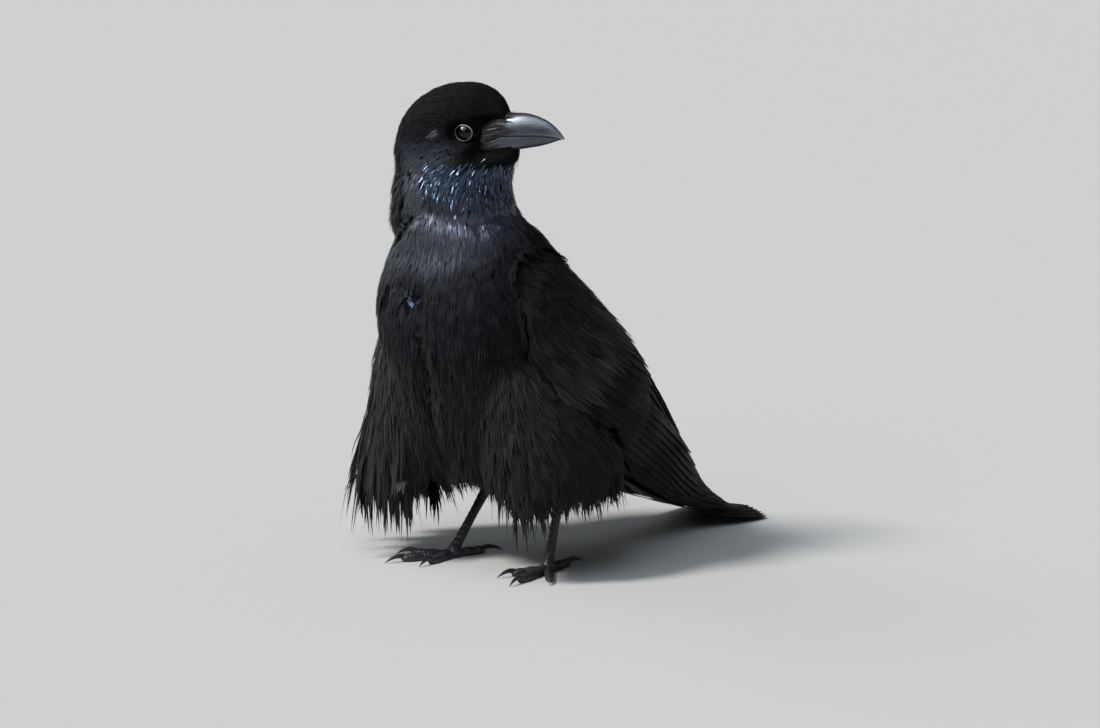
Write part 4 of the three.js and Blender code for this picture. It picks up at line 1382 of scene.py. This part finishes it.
class Coat:
    """The layers of feathers over the skin. A layer is rooted where its share of the coat, a
    function of points from 0 to 1, beats a random draw, so that layers run into one another."""

    def __init__(self, skin, over_wings):
        self.skin, self.over_wings = skin, over_wings

    def layer(
        self, name, share, gap, length, width, lift, blades, material, seed, steps=4, hang=0.0, wild=0.1,
        parts=1, ground=None, lie=body_lie, gloss=0.5, **shape,
    ):
        """gap, length, width, lift, hang and gloss are numbers, or functions of points. The layer
        lies over ground, and is cut into parts. shape is handed on to the feathers."""
        rng = np.random.default_rng(seed)

        def spacing(points):
            return np.where(share(points) > 0.02, each(gap, points), 0)

        roots, normals = self.skin.scatter(spacing, seed)
        kept = (share(roots) > rng.random(len(roots))) & ~bare(roots)
        roots, normals = roots[kept], normals[kept]
        count = len(roots)
        above_hem = (roots[:, 2] - hem_level(roots)) * uneven(rng, count, 0.2)
        full = np.minimum(each(length, roots) * uneven(rng, count), np.maximum(above_hem, SHORTEST))
        long, way = full, lie(roots, normals)
        for part in (0.85, 0.65, 0.45, 0.3):  # a feather ends before a crease
            long = np.where(in_crease(roots + way * full[:, None] * part) > 0.5, full * part, long)
        wide = each(width, roots) * uneven(rng, count)
        high = each(lift, roots) * (0.6 + 0.8 * rng.random(count))
        drop, shine = each(hang, roots), each(gloss, roots)
        turn = rng.normal(0, wild, count)
        line, facing = lay(ground or self.skin, roots, normals, lie, long, steps, high, drop, turn)
        # Pieces side by side, so that none is too large.
        side_of = np.arctan2(roots[:, 0], -roots[:, 1] + 20)
        piece_of = np.argsort(np.argsort(side_of)) * parts // count
        for k in range(parts):
            here = piece_of == k
            tag = name if parts == 1 else "%s_%d" % (name, k + 1)
            places = body_unwrap(roots[here])
            feathers = (line[here], facing[here], wide[here], blades, rng, material, places)
            dress(tufts(tag, *feathers, gloss=shine[here], **shape), "body_feathers")


def head_coat(coat):
    coat.layer(
        "coat_head", share=on_head, gap=by_face(0.95, 1.85), length=by_face(2.6, 8.5),
        width=by_face(1.0, 2.4), lift=lambda p: by_face(0.25, 0.75)(p) + 1.6 * on_nape(p), blades=3,
        material=VELVET, seed=11, parts=2, slim=1.3, glint=0.09, crown=0.25, gloss=neck_gloss,
    )


def bristles():
    """Stiff bristles that lie forward over the sides of the bill from its base, and the paler
    strands about the corners of the mouth."""
    rng = np.random.default_rng(23)
    u = np.linspace(0, 1, 6)[None]

    def over_bill(name, count, start, reach, climb, fall, width, material):
        """climb runs from 0 at the mouth line to 1 on the bill's ridge, and falls along a bristle."""
        side = rng.choice([LEFT, RIGHT], count)[:, None]
        begin = rng.uniform(*start, count)[:, None]
        ahead = begin + u * rng.uniform(*reach, count)[:, None]
        turn = rng.uniform(*climb, count)[:, None] * math.pi / 2 - u * rng.uniform(*fall, count)[:, None]
        rows = bill_at(np.maximum(ahead, BILL_ROOT).ravel())
        half, top, mouth, bottom = (v.reshape(ahead.shape) for v in rows.T)
        height = np.where(turn > 0, top - mouth, mouth - bottom)
        away = 0.2 + 1.1 * np.sin(math.pi * u) * rng.random((count, 1))
        line = in_head(ahead, side * ((half + away) * np.cos(turn)), mouth + (height + away) * np.sin(turn))
        out = unit(np.cos(turn)[..., None] * side[..., None] * ASIDE + np.sin(turn)[..., None] * UP)
        wide = width * uneven(rng, count)
        places = body_unwrap(line[:, 0])
        piece = tufts(name, line, out, wide, 1, rng, material, places, slim=1.0, glint=0.3)
        dress(piece, "body_feathers")

    over_bill("nasal_bristles", 330, (24, 34), (10, 20), (0.08, 1.0), (0.0, 0.25), 0.6, BELLY)
    over_bill("nasal_streaks", 60, (26, 33), (12, 18), (0.2, 0.95), (0.0, 0.2), 0.35, BRISTLE)
    over_bill("mouth_bristles", 80, (22, 27), (7, 12), (-0.75, 0.1), (0.0, 0.3), 0.5, BELLY)
    over_bill("mouth_strands", 40, (24, 28), (10, 17), (-0.6, 0.0), (-0.1, 0.3), 0.4, BRISTLE)


def neck_coat(coat):
    def neck_share(p):
        return (1 - on_head(p)) * ramp(p[:, 2], 254, 266) * (1 - in_crease(p))

    coat.layer(
        "coat_neck", share=lambda p: neck_share(p) * (1 - 0.25 * on_throat(p)) * (1 - on_nape(p)), gap=2.7,
        length=by_level(16, 11, 240, 300), width=by_level(6.0, 4.0, 240, 300),
        lift=by_level(1.8, 1.0, 240, 300), blades=6, material=VELVET, seed=12, parts=2, glint=0.1,
        crown=0.25, gloss=neck_gloss,
    )
    # The nape takes the paler feathers.
    coat.layer(
        "coat_nape", share=lambda p: neck_share(p) * on_nape(p), gap=2.8, length=16.0, width=5.0,
        lift=by_level(2.0, 4.0, 250, 275), blades=6, material=PALER, seed=20, loose=0.14, gloss=0.2,
    )
    coat.layer(
        "throat_hackles", gap=1.7, length=9.0, width=1.15, lift=1.9, blades=2, material=HACKLE, seed=15,
        share=lambda p: on_throat(p) * mix(0.75, 1.0, ramp(np.abs(head_frame(p)[1]), 3, 16)),
        gloss=0.9, glint=0.36, slim=1.4, wild=0.14, pointed=0.1,
    )


def in_hollow(points):
    """1 in the hollow over the right wrist."""
    return bell(np.linalg.norm(points - WRIST_HOLLOW, axis=1) / 7)


def sunlit(points):
    """The share of paler feathers over the right shoulder and flank, where they are painted light: that
    sunlit side is given a lighter colour.
    """
    x, y, z = points.T
    return ramp(x, -10, -30) * ramp(z, 60, 90) * ramp(y, -10, -45) * 0.75


def breast_coat(coat):
    def breast_share(p):
        here = ramp(p[:, 2], 166, 186) * ramp(p[:, 2], 270, 258) * (1 - on_back(p)) * (1 - in_crease(p))
        return here * (1 - in_hollow(p))

    def breast_gloss(p):
        level = p[:, 2] - 0.28 * p[:, 0]  # it reaches lower on the bird's right
        bright = mix(0.1, 1.0, ramp(level, 218, 252)) * mix(1.0, 0.8, ramp(p[:, 2], 252, 262))
        return bright * (1 - 0.85 * by_wrist(p)) * mix(1.0, 0.4, ramp(p[:, 0], 42, 56))

    def breast(name, share, **rest):
        coat.layer(
            name, share=share, gap=by_level(3.9, 2.9, 200, 255), length=by_level(24, 14, 170, 262),
            width=by_level(10.0, 6.5, 170, 262), lift=by_level(2.4, 1.0, 170, 250), blades=12, ragged=0.3,
            ground=coat.over_wings, gloss=breast_gloss, glint=0.08, crown=0.2, **rest,
        )

    breast("coat_breast", lambda p: breast_share(p) * (1 - sunlit(p)), material=BODY, seed=13, parts=2)
    # Painted light: the sunlit right shoulder and flank take the paler feathers.
    breast("coat_shoulder", lambda p: breast_share(p) * sunlit(p), material=PALER, seed=19)


def belly_coat(coat):
    def belly_share(p):
        here = ramp(p[:, 2], 50, 54) * ramp(p[:, 2], 186, 166) * (1 - on_back(p))
        return here * (1 - 0.4 * in_skirt(p)) * ramp(p[:, 1], 84, 66)

    def behind_flank(p):
        """1 where the flank ends against the wing, where the feathers are short."""
        return ramp(p[:, 1], 40, 58) * ramp(np.abs(p[:, 0]), 36, 46) * ramp(p[:, 2], 125, 100)

    coat.layer(
        "coat_belly", share=belly_share, gap=4.4, width=by_level(9.5, 10.5, 80, 170),
        length=lambda p: by_level(32, 26, 80, 170)(p) * clumped(p) * (1 - 0.6 * behind_flank(p)),
        lift=lambda p: by_level(4.0, 2.6, 80, 170)(p) * (1 - 0.7 * behind_flank(p)),
        blades=11, material=BELLY, seed=14, steps=5, hang=lambda p: 0.7 * ramp(p[:, 2], 115, 60), parts=3,
        ground=coat.over_wings, ragged=0.4, loose=0.1, pointed=0.4, crown=0.3,
        gloss=lambda p: mix(0.2, 0.55, ramp(p[:, 0], -20, -50)),
    )
    coat.layer(
        "wrist_hollow", share=lambda p: 1.4 * in_hollow(p), gap=2.6, length=10.0, width=4.5, lift=3.5,
        blades=8, material=HACKLE, seed=26, gloss=0.75, glint=0.2,
        lie=lambda p, n: along_surface(np.broadcast_to([1.0, 0.0, -0.5], p.shape), n),
    )


def back_coat(coat):
    def by_wing(p):
        """1 where the back meets the shoulders, where the feathers lie flat."""
        return ramp(np.abs(p[:, 0]), 20, 34) * ramp(p[:, 2], 185, 210)

    coat.layer(
        "coat_back", share=lambda p: on_back(p) * ramp(p[:, 1], 104, 88), gap=by_level(6.0, 4.4, 120, 240),
        length=lambda p: by_level(36, 20, 120, 240)(p) * mix(1, 0.55, by_wing(p)),
        width=by_level(17, 10, 120, 240), lift=lambda p: by_level(3.0, 0.9, 120, 220)(p) * (1 - by_wing(p)),
        blades=13, material=COVERT, seed=16, glint=0.08, gloss=lambda p: 0.6 * (1 - 0.9 * by_wing(p)),
        ragged=0.08, slim=1.8, ground=coat.over_wings,
    )


def skirt_coat(coat):
    def at_hem(p):
        x, y, z = p.T
        near_leg = bell((x - 60) / 16, (y + 26) / 26)
        return ramp(z, 48, 51) * ramp(z, 80, 68) * ramp(y, 70, 50) * np.clip(0.35 + near_leg, 0, 1)

    coat.layer(
        "hem_wisps", share=at_hem, gap=3.3, length=52.0, width=4.0, lift=3.0, blades=3, material=BELLY,
        seed=24, steps=6, hang=0.8, ragged=0.4, loose=0.25, slim=0.9, gloss=0.2,
    )
    coat.layer(
        "skirt_locks", share=in_skirt, gap=6.0, length=by_level(68, 42, 60, 130), width=7.5,
        lift=by_level(9, 5, 60, 130), blades=6, material=BELLY, seed=17, steps=7, hang=0.9, ragged=0.35,
        loose=0.16, pointed=0.2, wild=0.08, gloss=0.3,
    )


# ---- The bird ----
stage_and_light()
make_camera()

skin_points, over_points, skin_quads = make_skin()
skin_surface = Surface(skin_points, skin_quads)
skin_triangles = np.concatenate([skin_quads[:, [0, 1, 2]], skin_quads[:, [0, 2, 3]]])
lid_parts = [lids(side, skin_surface) for side in (LEFT, RIGHT)]
whole_points, whole_triangles = joined([(skin_points, skin_triangles)] + [part[:2] for part in lid_parts])
# The pale rim of the lids, a painted highlight, and none on the rest of the skin.
rim = np.concatenate([np.zeros(len(skin_points))] + [part[2] for part in lid_parts])
skin = new_piece("skin", whole_points, whole_triangles, SKIN, {"rim": rim})
skin.data.materials.append(LID)
finish = (np.arange(len(whole_triangles)) >= len(skin_triangles)).astype(np.int32)
skin.data.polygons.foreach_set("material_index", finish)
dress(skin, "body_feathers", *FLESH)

coat = Coat(skin_surface, Surface(over_points, skin_quads))
head_coat(coat)
bristles()
neck_coat(coat)
breast_coat(coat)
belly_coat(coat)
back_coat(coat)
skirt_coat(coat)

for side in (LEFT, RIGHT):
    dress(flight_feathers(side), "flight_feathers", "wing_" + SIDE_NAMES[side])
    dress(covert_tufts(side), "flight_feathers")
    eyeball(side)
dress(tail_feathers(), "flight_feathers", "tail")
bill_upper()
bill_lower()
for leg in LEGS:
    foot(leg)
    claws(leg)
